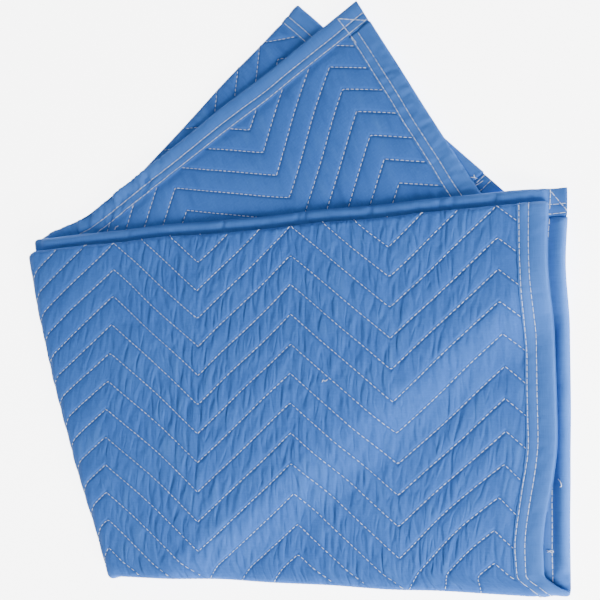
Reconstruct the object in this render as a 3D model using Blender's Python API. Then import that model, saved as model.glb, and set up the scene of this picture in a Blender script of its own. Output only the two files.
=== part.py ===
"""A quilted moving blanket, folded in three and then folded back on itself in two.

The blanket is a rectangle of quilted cloth with a tape sewn round its four edges. Its long
direction lies along u, from 0 to WIDTH, and runs with the zigzag rows. Its other direction
lies along v, from 0 to LENGTH. It is folded in v like a letter, with the lower layer from
v = 0, the upper layer next and the inner layer last, which is tucked between them. The strip
that this makes is then folded back in two along a slanted line at its left end, and its far
half fans out up and to the right. Metres, Z up, with the floor at Z = 0.
"""

import math

import bpy
import numpy as np
from mathutils import Vector
from mathutils.geometry import delaunay_2d_cdt

# Quilting
ROW = 0.054                      # from one stitched zigzag row to the next
HALF_WAVE = 3.6 * ROW            # along a row, from one corner of the zigzag to the next
CHEVRON = 3.0 * ROW              # depth of the zigzag
HALF_WAVES = 10                  # across the blanket
FIRST_CORNER = 1.5 * ROW         # from the side edge to the nearest corners
ROW_PHASE = 0.36                 # of a row, where the first one starts

# Flat size of the cloth
WIDTH = 35.9 * ROW               # 1.939, along the rows
LENGTH = 1.88                    # across the rows

# Thickness, each given as half of it, about the middle of the cloth
PUFF_HALF = 0.0030               # midway between two stitched rows
SEAM_HALF = 0.0011               # at a stitched row and inside the edge tape
HIDDEN_HALF = 0.0023             # where a layer lies inside the stack

# Edge tape
TAPE_WIDTH = 0.047
TAPE_ROOM = 0.0020               # half of the slot that the cloth lies in
TAPE_HALF = 0.0028               # half of its outer thickness
TAPE_GAP = 0.0010                # from the cloth's cut edge
TAPE_WALL = TAPE_HALF - TAPE_ROOM
CORNER_GAP = 0.0015              # a side tape starts this far past the thin margin
MARGIN = TAPE_WIDTH + 0.001      # cloth that stays thin beside the tape
PUFF_RISE = 0.016                # from that thin margin up to the full puff

# The stack
PITCH = 0.009                    # from one layer to the next
PANEL_HEIGHT = 0.646             # of the folded strip, from its top fold to its bottom fold
END_SHOWS = 0.027                # lower layer's end edge past the top fold
LOWER_SLACK = 0.014              # cloth that the lower layer gives up by lying stretched

# Plan of the stack, x to the right and y up, from near the upper layer's top right corner
LOWER_SIDE = 0.0130              # x of the lower layer's side edge, at the top
LOWER_LEAN = 0.57                # share of the way to the upper's edge that it leans by
UPPER_SIDE = -0.0164             # x of the upper layer's side edge
FOLD_TOP = (-1.090, 0.0)         # outline of the slanted fold
FOLD_FOOT = (-0.889, -0.645)
FLAP_TIP = (-0.360, 0.417)       # far corner of the lower layer
BACK_TIP = (-0.4865, 0.4347)     # far end of the top fold
FLAP_ANGLE = math.radians(30.4)  # of the rows in the flap
BACK_ANGLE = math.radians(39.5)  # of the rows in the two layers behind it
INNER_LEAN = math.radians(44.4)  # of the inner layer's side edge behind the flap
BACK_GATHER = 0.08               # cloth taken up along the top fold, behind the flap
CREASE_EASE = 0.20               # over which two layers turn to meet at a crease
SLIP_EASE = 0.135                # over which the back half slides along the slanted fold
FOLD_BOW = 0.019                 # by which the slanted fold bows outwards
BOW_EASE = 0.20                  # how far that reaches into the cloth
CORNER_PULL = 0.026              # by which the upper layer's bottom right corner is drawn in
PULL_FROM = (0.38, 0.58)         # depth below the top fold where that starts and is full
PULL_REACH = (0.10, 0.28)        # from the side edge, where it is full and where it ends
CORNER_RISE = 0.007              # by which the fold's end at the side edge is rounded off
RISE_REACH = (0.055, 0.07)       # from the side edge and from the bottom fold
PLAN_CENTRE = (-0.5429, -0.1090)  # plan position of the model's origin

# Where the front half leaves the back half and comes down to the floor
DROP_FROM_CREASE = 0.020
DROP_FROM_SIDE = 0.045
DROP_RUN = 0.10
DROP_HEIGHT = 3 * PITCH
DROP_ROUND = 0.06                # over which its two slopes run into each other
STEP_FROM = -0.015               # v past the bottom fold where the side edge starts to step in
STEP_RUN = 0.038                 # and over which it does

# Detail
BEND_STEPS = 4                   # facets round a letter fold
TURN_STEPS = 6                   # facets round the slanted fold
SLIP_STEPS = 3                   # facets where the back half slides along it
FRONT_SHARE = 0.55               # of an end tape that lies in the front half
BACK_SHARE = 0.35                # and past that slide
FRONT_STEP = 0.028               # longest straight piece of edge tape in the front half
BACK_STEP = 0.16                 # and in the back half
LINE_STEP = 0.09                 # between the points of a slanted line on the cloth
TOUCH = 0.00001                  # points nearer than this are one
BORDER = 0.0002                  # points this near a line are taken to lie on it
SLIVER = 0.006                   # a slope's line goes no nearer the margin without meeting it

# Where the letter folds lie in v
LOWER_SPAN = END_SHOWS + PANEL_HEIGHT - PITCH
BEND_START = LOWER_SPAN - LOWER_SLACK
BEND_END = BEND_START + math.pi * PITCH
TOP_START = BEND_END + PANEL_HEIGHT - 1.5 * PITCH
TOP_END = TOP_START + math.pi * PITCH / 2
FLAP_QUILTED = BEND_START - CREASE_EASE
STACK_MIDDLE = PUFF_HALF + 2.5 * PITCH

BLUE_CLOTH = ("quilted polyester cotton cloth", (0.075, 0.215, 0.455, 1.0), 0.88)
BLUE_TAPE = ("woven edge tape", (0.066, 0.196, 0.425, 1.0), 0.82)


def smooth(x):
    """0 below 0, 1 above 1 and a soft step between."""
    x = np.clip(x, 0.0, 1.0)
    return x * x * (3 - 2 * x)


def direction(angle):
    return np.array([math.cos(angle), math.sin(angle)])


def across(angle):
    """A quarter turn clockwise from direction(angle)."""
    return np.array([math.sin(angle), -math.cos(angle)])


FOLD_LENGTH = math.dist(FOLD_FOOT, FOLD_TOP)
FOLD_DOWN = np.subtract(FOLD_FOOT, FOLD_TOP) / FOLD_LENGTH
FOLD_IN = np.array([-FOLD_DOWN[1], FOLD_DOWN[0]])
FOLD_AXIS = np.array(FOLD_TOP) + FOLD_IN * 3 * PITCH


def layer_height(v):
    """Height in the strip's own stack: 0 lower layer, PITCH inner, 2 PITCH upper."""
    bend = np.clip((v - BEND_START) / PITCH, 0, math.pi)
    top = np.clip((v - TOP_START) / (PITCH / 2), 0, math.pi)
    return PITCH * (1 - np.cos(bend)) - PITCH / 2 * (1 - np.cos(top))


def upper_inset(v):
    """Distance of the upper layer's points below the top fold's outline."""
    return PANEL_HEIGHT - PITCH - np.clip(v - BEND_END, 0, TOP_START - BEND_END)


def step_in(v):
    """How far the side edge has stepped in, 0 to 1, on its way up from the bottom fold."""
    return smooth((v - BEND_END - STEP_FROM) / STEP_RUN)


def front_plan(u, v):
    """Plan of the half that stays in front, as if it went on flat past the slanted fold."""
    lower = v <= BEND_START
    bend = np.clip((v - BEND_START) / PITCH, 0, math.pi)
    top = np.clip((v - TOP_START) / (PITCH / 2), 0, math.pi)
    leaned = LOWER_LEAN * np.clip(v / BEND_START, 0, 1)
    stepped = leaned + (1 - leaned) * step_in(v)
    x = LOWER_SIDE + (UPPER_SIDE - LOWER_SIDE) * stepped - u
    flat = END_SHOWS - v * LOWER_SPAN / BEND_START
    y = np.where(lower, flat, -upper_inset(v) - PITCH * np.sin(bend) * (v < BEND_END))
    y = y + PITCH / 2 * np.sin(top)
    y = y - np.maximum(v - TOP_END, 0)
    return np.stack([x, y], -1)


def back_plan(u, v):
    """Plan of the half that is folded back, as if it went on flat past the slanted fold."""
    left = (u - WIDTH)[..., None]
    flap_rows = direction(FLAP_ANGLE)
    back_rows = direction(BACK_ANGLE)

    def lower(v):
        return np.array(FLAP_TIP) + left * flap_rows + v[..., None] * across(FLAP_ANGLE)

    def upper(inset):
        gather = 1 - BACK_GATHER * (1 - inset / PANEL_HEIGHT)
        return (np.array(BACK_TIP) + left * gather[..., None] * back_rows
                + inset[..., None] * across(BACK_ANGLE))

    foot = np.full_like(v, PANEL_HEIGHT - PITCH)
    lower_end = lower(np.full_like(v, BEND_START))
    upper_end = upper(foot)
    crease = (lower_end + upper_end) / 2
    near_crease = smooth(1 - (BEND_START - v) / CREASE_EASE)[..., None]
    flap = lower(v) + near_crease * (crease - lower_end)
    bend = np.clip((v - BEND_START) / PITCH, 0, math.pi)[..., None]
    out = across((FLAP_ANGLE + BACK_ANGLE) / 2)
    turn = crease + out * PITCH * np.sin(bend)
    near_crease = smooth(1 - (v - BEND_END) / CREASE_EASE)[..., None]
    back = upper(upper_inset(v)) + near_crease * (crease - upper_end)
    top = np.clip((v - TOP_START) / (PITCH / 2), 0, math.pi)[..., None]
    back = back - across(BACK_ANGLE) * PITCH / 2 * np.sin(top)
    past_top = np.maximum(v - TOP_END, 0)[..., None]
    let_out = BACK_GATHER * past_top / (LENGTH - TOP_END)
    inner = past_top * across(INNER_LEAN) + left * let_out * back_rows
    plan = np.where((v <= BEND_START)[..., None], flap, turn)
    return np.where((v >= BEND_END)[..., None], back + inner, plan)


def fold_span(v):
    """Where in u each line of cloth enters and leaves the slanted fold, and its slide."""
    def distance(plan, u):
        return (plan(np.full_like(v, u), v) - FOLD_AXIS) @ FOLD_IN

    def meets(plan):
        first, last = distance(plan, 0.0), distance(plan, WIDTH)
        return WIDTH * first / (first - last)

    start, end = meets(front_plan), meets(back_plan)
    start_down = (front_plan(start, v) - FOLD_AXIS) @ FOLD_DOWN
    end_down = (back_plan(end, v) - FOLD_AXIS) @ FOLD_DOWN
    return start, end, start_down, end_down


CREASE_POINT = back_plan(np.array([WIDTH]), np.array([BEND_START + math.pi / 2 * PITCH]))[0]
CREASE_OUT = across((FLAP_ANGLE + BACK_ANGLE) / 2)
SIDE_OUT = direction(FLAP_ANGLE)


def drop(plan):
    """How far the front half has come down to the floor beside the back half, 0 to 1."""
    past_crease = (plan - CREASE_POINT) @ CREASE_OUT - DROP_FROM_CREASE
    past_side = (plan - np.array(FLAP_TIP)) @ SIDE_OUT - DROP_FROM_SIDE
    past = (past_crease + past_side + np.hypot(past_crease - past_side, DROP_ROUND)) / 2
    return smooth(past / DROP_RUN)


def corner_pull(u, v, plan):
    """How far the cloth above the bottom right corner is drawn to the left."""
    low = smooth((-plan[..., 1] - PULL_FROM[0]) / (PULL_FROM[1] - PULL_FROM[0]))
    near = 1 - smooth((u - PULL_REACH[0]) / (PULL_REACH[1] - PULL_REACH[0]))
    return CORNER_PULL * low * near * step_in(v)


def corner_rise(u, plan):
    """How far the bottom fold's end is drawn up, which rounds its corner."""
    near = smooth(1 - u / RISE_REACH[0]) * smooth(1 - (PANEL_HEIGHT + plan[..., 1]) / RISE_REACH[1])
    return CORNER_RISE * near


def fold_bow(plan):
    """How far the slanted fold bows out, most a little above its middle."""
    down = ((plan - FOLD_AXIS) @ FOLD_DOWN) / FOLD_LENGTH
    return FOLD_BOW * np.sin(math.pi * np.clip((down + 0.2) / 1.2, 0, 1))


def near_fold(u, start, end):
    before, after = smooth(1 - (start - u) / BOW_EASE), smooth(1 - (u - end) / BOW_EASE)
    return np.minimum(before, after)


def middle(u, v):
    """The middle of the cloth in the folded blanket."""
    height = layer_height(v)
    start, end, start_down, end_down = fold_span(v)
    front = front_plan(u, v)
    back = back_plan(u, v)
    z_drop = DROP_HEIGHT * drop(front) * (u < start)
    front = front + np.stack([-corner_pull(u, v, front), corner_rise(u, front)], -1)
    turn = np.clip((u - start) / (end - start), 0, 1) * math.pi
    bulge = -(PITCH + height) * np.sin(turn)
    round_fold = FOLD_AXIS + start_down[..., None] * FOLD_DOWN + bulge[..., None] * FOLD_IN
    slide = (start_down - end_down) * (1 - smooth((u - end) / SLIP_EASE))
    back = back + slide[..., None] * FOLD_DOWN
    plan = np.where((u <= start)[..., None], front, round_fold)
    plan = np.where((u >= end)[..., None], back, plan)
    plan = plan - (fold_bow(plan) * near_fold(u, start, end))[..., None] * FOLD_IN
    z = STACK_MIDDLE + (PITCH / 2 + height) * np.cos(turn) - z_drop
    return np.concatenate([plan - np.array(PLAN_CENTRE), z[..., None]], -1)


def normals(u, v):
    """Unit normals on the blanket's outer side."""
    step = 0.0004
    along_u = middle(u + step, v) - middle(u - step, v)
    along_v = middle(u, v + step) - middle(u, v - step)
    normal = np.cross(along_v, along_u)
    return normal / np.linalg.norm(normal, axis=-1, keepdims=True)


def zigzag(u):
    """Depth of the zigzag rows at u: least at the corners nearest the two ends' sides."""
    phase = (u - FIRST_CORNER) / HALF_WAVE
    return CHEVRON * np.abs((phase - 1) % 2 - 1)


def rests(u, v):
    """1 where the outer side lies on the floor, 0 where another layer is under it."""
    start, end, _, _ = fold_span(v)
    plan = front_plan(u, v)
    under_front = drop(plan) * (u < start) * (v < BEND_START + BORDER)
    under_back = (u > end - BORDER) * (v > BEND_END - BORDER) * (v < TOP_START + BORDER)
    return np.maximum(under_front, under_back)


def shows_quilting(u, v):
    """The layers whose outer side can be seen, upper in front and the other two behind.

    The lines that bound them are left out, so that the cloth is even where they end.
    """
    start, end, _, _ = fold_span(v)
    upper = (v > BEND_END + BORDER) & (v < TOP_START - BORDER) & (u < start - BORDER)
    flap = (v < FLAP_QUILTED - BORDER) & (u > end + BORDER)
    inner = (v > TOP_END + BORDER) & (u > end + BORDER)
    return upper | flap | inner


def half_thickness(u, v):
    """Half of the cloth's thickness: thin at a stitched row, thick midway."""
    phase = ((v + zigzag(u)) / ROW - ROW_PHASE) % 1
    wave = 1 - np.abs(2 * phase - 1)
    quilted = SEAM_HALF + (PUFF_HALF - SEAM_HALF) * wave
    half = np.where(shows_quilting(u, v), quilted, HIDDEN_HALF)
    edge = np.minimum(np.minimum(u, WIDTH - u), np.minimum(v, LENGTH - v))
    rise = np.clip((edge - MARGIN) / PUFF_RISE, 0, 1)
    return SEAM_HALF + (half - SEAM_HALF) * rise, rise


def fold_line(share, v):
    """The u of a line that runs beside or round the slanted fold, share of the way round."""
    start, end, _, _ = fold_span(v)
    return start + share * (end - start)


def slip_line(share, v):
    _, end, _, _ = fold_span(v)
    return end + share * SLIP_EASE


def drop_line(share, v):
    """The u at which the front half has gone share of the way down its slope."""
    def reach(origin, out, gap):
        near = (front_plan(np.zeros_like(v), v) - origin) @ out
        far = (front_plan(np.full_like(v, WIDTH), v) - origin) @ out
        return WIDTH * (near - gap - share * DROP_RUN) / (near - far)

    crease = reach(CREASE_POINT, CREASE_OUT, DROP_FROM_CREASE)
    side = reach(np.array(FLAP_TIP), SIDE_OUT, DROP_FROM_SIDE)
    return np.maximum(crease, side)


def spaced(first, last, step):
    count = max(1, math.ceil((last - first) / step - 1e-9))
    return [first + (last - first) * i / count for i in range(count + 1)]


def bend_lines():
    """The v of each facet edge round the two letter folds."""
    lines = []
    for first, last in ((BEND_START, BEND_END), (TOP_START, TOP_END)):
        lines += [first + (last - first) * i / BEND_STEPS for i in range(BEND_STEPS + 1)]
    return lines


def layer_lines():
    """Values of v that a slanted line on the cloth needs a point at."""
    stops = [0.0, MARGIN, FLAP_QUILTED] + bend_lines() + [LENGTH - MARGIN, LENGTH]
    stops += [BEND_START - CREASE_EASE / 2, BEND_END + CREASE_EASE / 2, BEND_END + CREASE_EASE]
    stops.sort()
    lines = []
    for first, last in zip(stops[:-1], stops[1:]):
        lines += spaced(first, last, LINE_STEP)[:-1]
    return np.array(lines + [LENGTH])


def clipped(line, corners):
    """The part of a straight line inside a convex outline that runs anticlockwise."""
    first, last = np.array(line[0]), np.array(line[1])
    low, high = 0.0, 1.0
    for a, b in zip(corners, corners[1:] + corners[:1]):
        side = np.array([a[1] - b[1], b[0] - a[0]])
        from_first = (first - a) @ side
        change = (last - first) @ side
        if abs(change) < 1e-12:
            if from_first < 0:
                return None
            continue
        crossing = -from_first / change
        low, high = (max(low, crossing), high) if change > 0 else (low, min(high, crossing))
    if high - low < 1e-4:
        return None
    return [tuple(first + low * (last - first)), tuple(first + high * (last - first))]


def quilted_zones():
    """Corners in (u, v) of the three stretches whose quilting can be seen."""
    def ends(share, *heights):
        return [float(fold_line(share, np.array([v]))[0]) for v in heights]

    near, far = MARGIN, WIDTH - MARGIN
    front_low, front_high = ends(0, BEND_END, TOP_START)
    flap_low, flap_high = ends(1, MARGIN, FLAP_QUILTED)
    inner_low, inner_high = ends(1, TOP_END, LENGTH - MARGIN)
    return [
        [(near, BEND_END), (front_low, BEND_END), (front_high, TOP_START), (near, TOP_START)],
        [(flap_low, MARGIN), (far, MARGIN), (far, FLAP_QUILTED), (flap_high, FLAP_QUILTED)],
        [(inner_low, TOP_END), (far, TOP_END), (far, LENGTH - MARGIN),
         (inner_high, LENGTH - MARGIN)],
    ]


def quilting_lines():
    """Every stitched row and every crest between two rows, where they can be seen."""
    corners = [FIRST_CORNER + HALF_WAVE * i for i in range(-1, HALF_WAVES + 1)]
    half_rows = 2 * math.ceil((LENGTH + CHEVRON) / ROW) + 2
    lines = []
    for i in range(half_rows):
        depth = (i / 2 + ROW_PHASE) * ROW
        for first, last in zip(corners[:-1], corners[1:]):
            ends = [(u, depth - float(zigzag(np.array(u)))) for u in (first, last)]
            pieces = [clipped(ends, zone) for zone in quilted_zones()]
            lines += [piece for piece in pieces if piece]
    return lines


def side_stops(front):
    """The v of each station along a side tape."""
    step = FRONT_STEP if front else BACK_STEP
    stops = [MARGIN, FLAP_QUILTED] + bend_lines() + [LENGTH - MARGIN]
    stops += [BEND_START - CREASE_EASE / 2, BEND_END + CREASE_EASE / 2, BEND_END + CREASE_EASE]
    stops.sort()
    lines = []
    for first, last in zip(stops[:-1], stops[1:]):
        lines += spaced(first, last, step)[:-1]
    return lines + [stops[-1]]


def end_station(place, v):
    """The u, at v, of a station along an end tape, which follows the slanted fold there."""
    kind, share = place
    start, end, _, _ = fold_span(v)
    if kind == "front":
        return MARGIN + share * (start - MARGIN)
    if kind == "fold":
        return start + share * (end - start)
    if kind == "slip":
        return end + share * SLIP_EASE
    return end + SLIP_EASE + share * (WIDTH - MARGIN - end - SLIP_EASE)


def end_places():
    """Each station along an end tape: which stretch it is in, and how far along that."""
    front = math.ceil(WIDTH * FRONT_SHARE / FRONT_STEP)
    back = math.ceil(WIDTH * BACK_SHARE / BACK_STEP)
    places = [("front", i / front) for i in range(front)]
    places += [("fold", i / TURN_STEPS) for i in range(TURN_STEPS)]
    places += [("slip", i / SLIP_STEPS) for i in range(SLIP_STEPS)]
    places += [("back", i / back) for i in range(back + 1)]
    return places


def edge_cells():
    """Cuts across the cloth under each tape, at the tape's own facets and diagonals."""
    lines = []
    for front, edge, inset in ((True, 0.0, MARGIN), (False, WIDTH, WIDTH - MARGIN)):
        stops = side_stops(front)
        lines += [[(edge, v), (inset, v)] for v in stops]
        lines += [[(edge, a), (inset, b)] for a, b in zip(stops[:-1], stops[1:])]
    for edge, inset in ((0.0, MARGIN), (LENGTH, LENGTH - MARGIN)):
        outer, within = [0.0], [0.0]
        for place in end_places():
            outer.append(float(end_station(place, np.array([edge]))[0]))
            within.append(float(end_station(place, np.array([inset]))[0]))
        outer.append(WIDTH)
        within.append(WIDTH)
        lines += [[(a, edge), (b, inset)] for a, b in zip(outer, within)]
        lines += [[(a, edge), (b, inset)] for a, b in zip(outer[:-1], within[1:])]
    return lines


def cloth_lines():
    """The lines on the flat cloth that its facets follow, as lists of (u, v) points."""
    def level(v, first=0.0, last=WIDTH):
        return [(first, v), (last, v)]

    def upright(u):
        return [(u, 0.0), (u, LENGTH)]

    lines = [level(v) for v in (0.0, LENGTH, MARGIN, LENGTH - MARGIN)]
    lines += [upright(u) for u in (0.0, WIDTH, MARGIN, WIDTH - MARGIN)]
    lines += [level(v) for v in bend_lines()]
    far = WIDTH - MARGIN
    rise = MARGIN + PUFF_RISE
    for v in (rise, LENGTH - rise):
        start = float(fold_line(1, np.array([v]))[0])
        lines.append(level(v, start, far))
    lines.append(level(rise, rise, float(fold_line(0, np.array([rise]))[0])))
    lines.append([(rise, rise), (rise, TOP_START)])
    lines.append([(WIDTH - rise, rise), (WIDTH - rise, LENGTH - rise)])
    heights = layer_lines()
    inside = heights[(heights > MARGIN - TOUCH) & (heights < LENGTH - MARGIN + TOUCH)]
    for i in range(TURN_STEPS + 1):
        lines.append(list(zip(fold_line(i / TURN_STEPS, heights), heights)))
    for i in range(1, SLIP_STEPS + 1):
        lines.append(list(zip(slip_line(i / SLIP_STEPS, heights), heights)))
    for share in (0.0, 0.25, 0.5, 0.75, 1.0):
        slope = np.clip(drop_line(share, inside), MARGIN, fold_line(0, inside))
        slope = np.where(slope < MARGIN + SLIVER, MARGIN, slope)
        lines.append(list(zip(slope, inside)))
    for v in (BEND_START - CREASE_EASE / 2, FLAP_QUILTED, BEND_END + CREASE_EASE / 2,
              BEND_END + CREASE_EASE):
        lines.append(level(v, float(fold_line(1, np.array([v]))[0]), WIDTH))
    return lines + edge_cells() + quilting_lines()


def flat_facets():
    """Points and triangles of the flat cloth, cut along all of its lines."""
    points, edges = [], []
    for line in cloth_lines():
        first = len(points)
        points += [Vector((u, v)) for u, v in line]
        edges += [(first + i, first + i + 1) for i in range(len(line) - 1)]
    found = delaunay_2d_cdt(points, edges, [], 0, TOUCH)
    return np.array([tuple(p) for p in found[0]]), [list(face) for face in found[2]]


def add_object(name, points, faces, material):
    mesh = bpy.data.meshes.new(name)
    mesh.from_pydata([tuple(p) for p in points], [], faces)
    mesh.materials.append(material)
    made = bpy.data.objects.new(name, mesh)
    bpy.context.scene.collection.objects.link(made)
    return made


def add_material(name, colour, roughness):
    material = bpy.data.materials.new(name)
    material.use_nodes = True
    shader = material.node_tree.nodes["Principled BSDF"]
    shader.inputs["Base Color"].default_value = colour
    shader.inputs["Roughness"].default_value = roughness
    shader.inputs["Metallic"].default_value = 0.0
    return material


def add_panel(material):
    """The quilted cloth: its outer side, its inner side and the cut edge between them."""
    flat, facets = flat_facets()
    u, v = flat[:, 0], flat[:, 1]
    centre, normal = middle(u, v), normals(u, v)
    half, rise = half_thickness(u, v)
    outer_half = half + (PUFF_HALF - half) * rests(u, v) * rise
    outer = centre + normal * outer_half[:, None]
    inner = centre - normal * half[:, None]
    count = len(flat)
    facets = [f if signed_area(flat, f) < 0 else f[::-1] for f in facets]
    faces = facets + [[i + count for i in reversed(f)] for f in facets]
    sides = dict.fromkeys((a, b) for f in facets for a, b in zip(f, f[1:] + f[:1]))
    rim = [(a, b) for a, b in sides if (b, a) not in sides]
    faces += [[b, a, a + count, b + count] for a, b in rim]
    return add_object("quilted_panel", np.concatenate([outer, inner]), faces, material)


def signed_area(flat, face):
    a, b, c = (flat[i] for i in face)
    return (b[0] - a[0]) * (c[1] - a[1]) - (c[0] - a[0]) * (b[1] - a[1])


TAPE_PROFILE = [                 # reach in from the cloth's edge, height above its middle
    (TAPE_WIDTH, TAPE_HALF), (-TAPE_GAP - TAPE_WALL, TAPE_HALF),
    (-TAPE_GAP - TAPE_WALL, -TAPE_HALF), (TAPE_WIDTH, -TAPE_HALF),
    (TAPE_WIDTH, -TAPE_ROOM), (-TAPE_GAP, -TAPE_ROOM),
    (-TAPE_GAP, TAPE_ROOM), (TAPE_WIDTH, TAPE_ROOM),
]
TAPE_LEGS = [(0, 1, 6, 7), (1, 2, 5, 6), (2, 3, 4, 5)]


def add_tape(name, stations, material):
    """A tape folded over an edge: stations turn a reach from that edge into (u, v)."""
    points = []
    for station in stations:
        for reach, height in TAPE_PROFILE:
            u, v = (np.array([value]) for value in station(reach))
            points.append((middle(u, v) + normals(u, v) * height)[0])
    size = len(TAPE_PROFILE)
    faces = []
    for i in range(len(stations) - 1):
        here, there = i * size, (i + 1) * size
        for a in range(size):
            b = (a + 1) % size
            deep, edge = (a, b) if TAPE_PROFILE[a][0] > TAPE_PROFILE[b][0] else (b, a)
            corner = [here + a, here + b, there + b, there + a]
            while corner[0] != here + edge:
                corner.append(corner.pop(0))
            faces += [corner[:3], [corner[0], corner[2], corner[3]]]
    last = (len(stations) - 1) * size
    faces += [list(reversed(leg)) for leg in TAPE_LEGS]
    faces += [[last + i for i in leg] for leg in TAPE_LEGS]
    return add_object(name, points, faces, material)


def side_tape(name, at_end, material):
    stops = side_stops(front=not at_end)
    stops[0] += CORNER_GAP
    stops[-1] -= CORNER_GAP

    def station(v):
        return lambda reach: (WIDTH - reach if at_end else reach, v)

    return add_tape(name, [station(v) for v in stops], material)


def end_tape(name, at_end, material):
    def station(place):
        def point(reach):
            v = LENGTH - reach if at_end else reach
            return float(end_station(place, np.array([v]))[0]), v
        return point

    def edge(u):
        return lambda reach: (u, LENGTH - reach if at_end else reach)

    stations = [edge(0.0)] + [station(place) for place in end_places()] + [edge(WIDTH)]
    return add_tape(name, stations, material)


def face_outwards(made):
    """Turn a closed mesh's faces round where they were laid the other way."""
    mesh = made.data
    corners = [v.co for v in mesh.vertices]
    volume = 0.0
    for face in mesh.polygons:
        a = corners[face.vertices[0]]
        for i in range(1, len(face.vertices) - 1):
            b, c = corners[face.vertices[i]], corners[face.vertices[i + 1]]
            volume += a.dot(b.cross(c))
    if volume < 0:
        mesh.flip_normals()


def main():
    for old in list(bpy.data.objects):
        bpy.data.objects.remove(old)
    cloth = add_material(*BLUE_CLOTH)
    tape = add_material(*BLUE_TAPE)
    made = [
        add_panel(cloth),
        side_tape("side_tape_front", False, tape),
        side_tape("side_tape_back", True, tape),
        end_tape("end_tape_lower", False, tape),
        end_tape("end_tape_inner", True, tape),
    ]
    for piece in made:
        face_outwards(piece)


main()
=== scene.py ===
"""The finish of a quilted moving blanket, folded in three and then back on itself in two.

The blanket is cut flat: u runs along the zigzag rows from 0 to WIDTH and v runs across them
from 0 to LENGTH. It is folded in v like a letter, into a lower, an upper and an inner layer,
and the strip is folded back in two along a slanted line at its left end. Every piece here is
made flat in u and v at its real size and is then laid on those folds. Metres, Z up.
"""

import functools
import math

import bpy
import numpy as np
from bpy.props import FloatProperty, FloatVectorProperty, PointerProperty
from bpy.types import Operator, Panel, PropertyGroup
from mathutils import Matrix, Vector
from mathutils.geometry import delaunay_2d_cdt


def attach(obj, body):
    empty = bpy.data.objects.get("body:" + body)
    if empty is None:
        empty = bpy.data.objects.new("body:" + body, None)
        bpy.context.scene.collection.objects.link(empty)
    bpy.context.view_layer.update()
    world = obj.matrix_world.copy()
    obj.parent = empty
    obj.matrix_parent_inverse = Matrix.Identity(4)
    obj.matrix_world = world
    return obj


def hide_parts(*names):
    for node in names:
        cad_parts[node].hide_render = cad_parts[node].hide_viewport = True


bl_info = {
    "name": "Folded Moving Blanket",
    "version": (1, 0, 0),
    "blender": (4, 5, 0),
    "location": "View3D > Sidebar > Blanket",
    "description": "Quilted cloth, edge tapes and stitching on the solids of a folded blanket",
    "category": "Object",
}

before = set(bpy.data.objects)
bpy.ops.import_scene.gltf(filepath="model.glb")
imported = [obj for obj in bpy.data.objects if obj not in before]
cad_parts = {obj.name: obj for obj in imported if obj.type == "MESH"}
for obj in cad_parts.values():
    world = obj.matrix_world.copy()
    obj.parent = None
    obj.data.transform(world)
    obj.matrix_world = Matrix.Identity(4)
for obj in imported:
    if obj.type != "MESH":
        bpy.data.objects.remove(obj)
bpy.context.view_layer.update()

# Quilting
ROW = 0.054                      # from one stitched zigzag row to the next
HALF_WAVE = 3.6 * ROW            # along a row, from one corner of the zigzag to the next
CHEVRON = 3.0 * ROW              # depth of the zigzag
FIRST_CORNER = 1.5 * ROW         # from the side edge to the nearest corners
ROW_PHASE = 0.36                 # of a row, where the first one starts

# Flat size of the cloth
WIDTH = 35.9 * ROW
LENGTH = 1.88

# Thickness, each given as half of it, about the middle of the cloth
PUFF_HALF = 0.0030               # midway between two stitched rows
SEAM_HALF = 0.0011               # at a stitched row and inside the edge tape
HIDDEN_HALF = 0.0023             # where a layer lies inside the stack

# Edge tape
TAPE_WIDTH = 0.047
MARGIN = TAPE_WIDTH + 0.001      # cloth that stays thin beside the tape
PUFF_RISE = 0.016                # from that thin margin up to the full puff
CORNER_GAP = 0.0015              # a side tape starts this far past the thin margin

# The stack
PITCH = 0.009                    # from one layer to the next
PANEL_HEIGHT = 0.646             # of the folded strip, from its top fold to its bottom fold
END_SHOWS = 0.027                # lower layer's end edge past the top fold
LOWER_SLACK = 0.014              # cloth that the lower layer gives up by lying stretched

# Plan of the stack, x to the right and y up, from near the upper layer's top right corner
LOWER_SIDE = 0.0130              # x of the lower layer's side edge, at the top
LOWER_LEAN = 0.57                # share of the way to the upper's edge that it leans by
UPPER_SIDE = -0.0164             # x of the upper layer's side edge
FOLD_TOP = (-1.090, 0.0)         # outline of the slanted fold
FOLD_FOOT = (-0.889, -0.645)
FLAP_TIP = (-0.360, 0.417)       # far corner of the lower layer
BACK_TIP = (-0.4865, 0.4347)     # far end of the top fold
FLAP_ANGLE = math.radians(30.4)  # of the rows in the flap
BACK_ANGLE = math.radians(39.5)  # of the rows in the two layers behind it
INNER_LEAN = math.radians(44.4)  # of the inner layer's side edge behind the flap
BACK_GATHER = 0.08               # cloth taken up along the top fold, behind the flap
CREASE_EASE = 0.20               # over which two layers turn to meet at a crease
SLIP_EASE = 0.135                # over which the back half slides along the slanted fold
FOLD_BOW = 0.019                 # by which the slanted fold bows outwards
BOW_EASE = 0.20                  # how far that reaches into the cloth
CORNER_PULL = 0.026              # by which the upper layer's bottom right corner is drawn in
PULL_FROM = (0.38, 0.58)         # depth below the top fold where that starts and is full
PULL_REACH = (0.10, 0.28)        # from the side edge, where it is full and where it ends
CORNER_RISE = 0.007              # by which the fold's end at the side edge is rounded off
RISE_REACH = (0.055, 0.07)       # from the side edge and from the bottom fold
PLAN_CENTRE = (-0.5429, -0.1090)  # plan position of the model's origin

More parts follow.
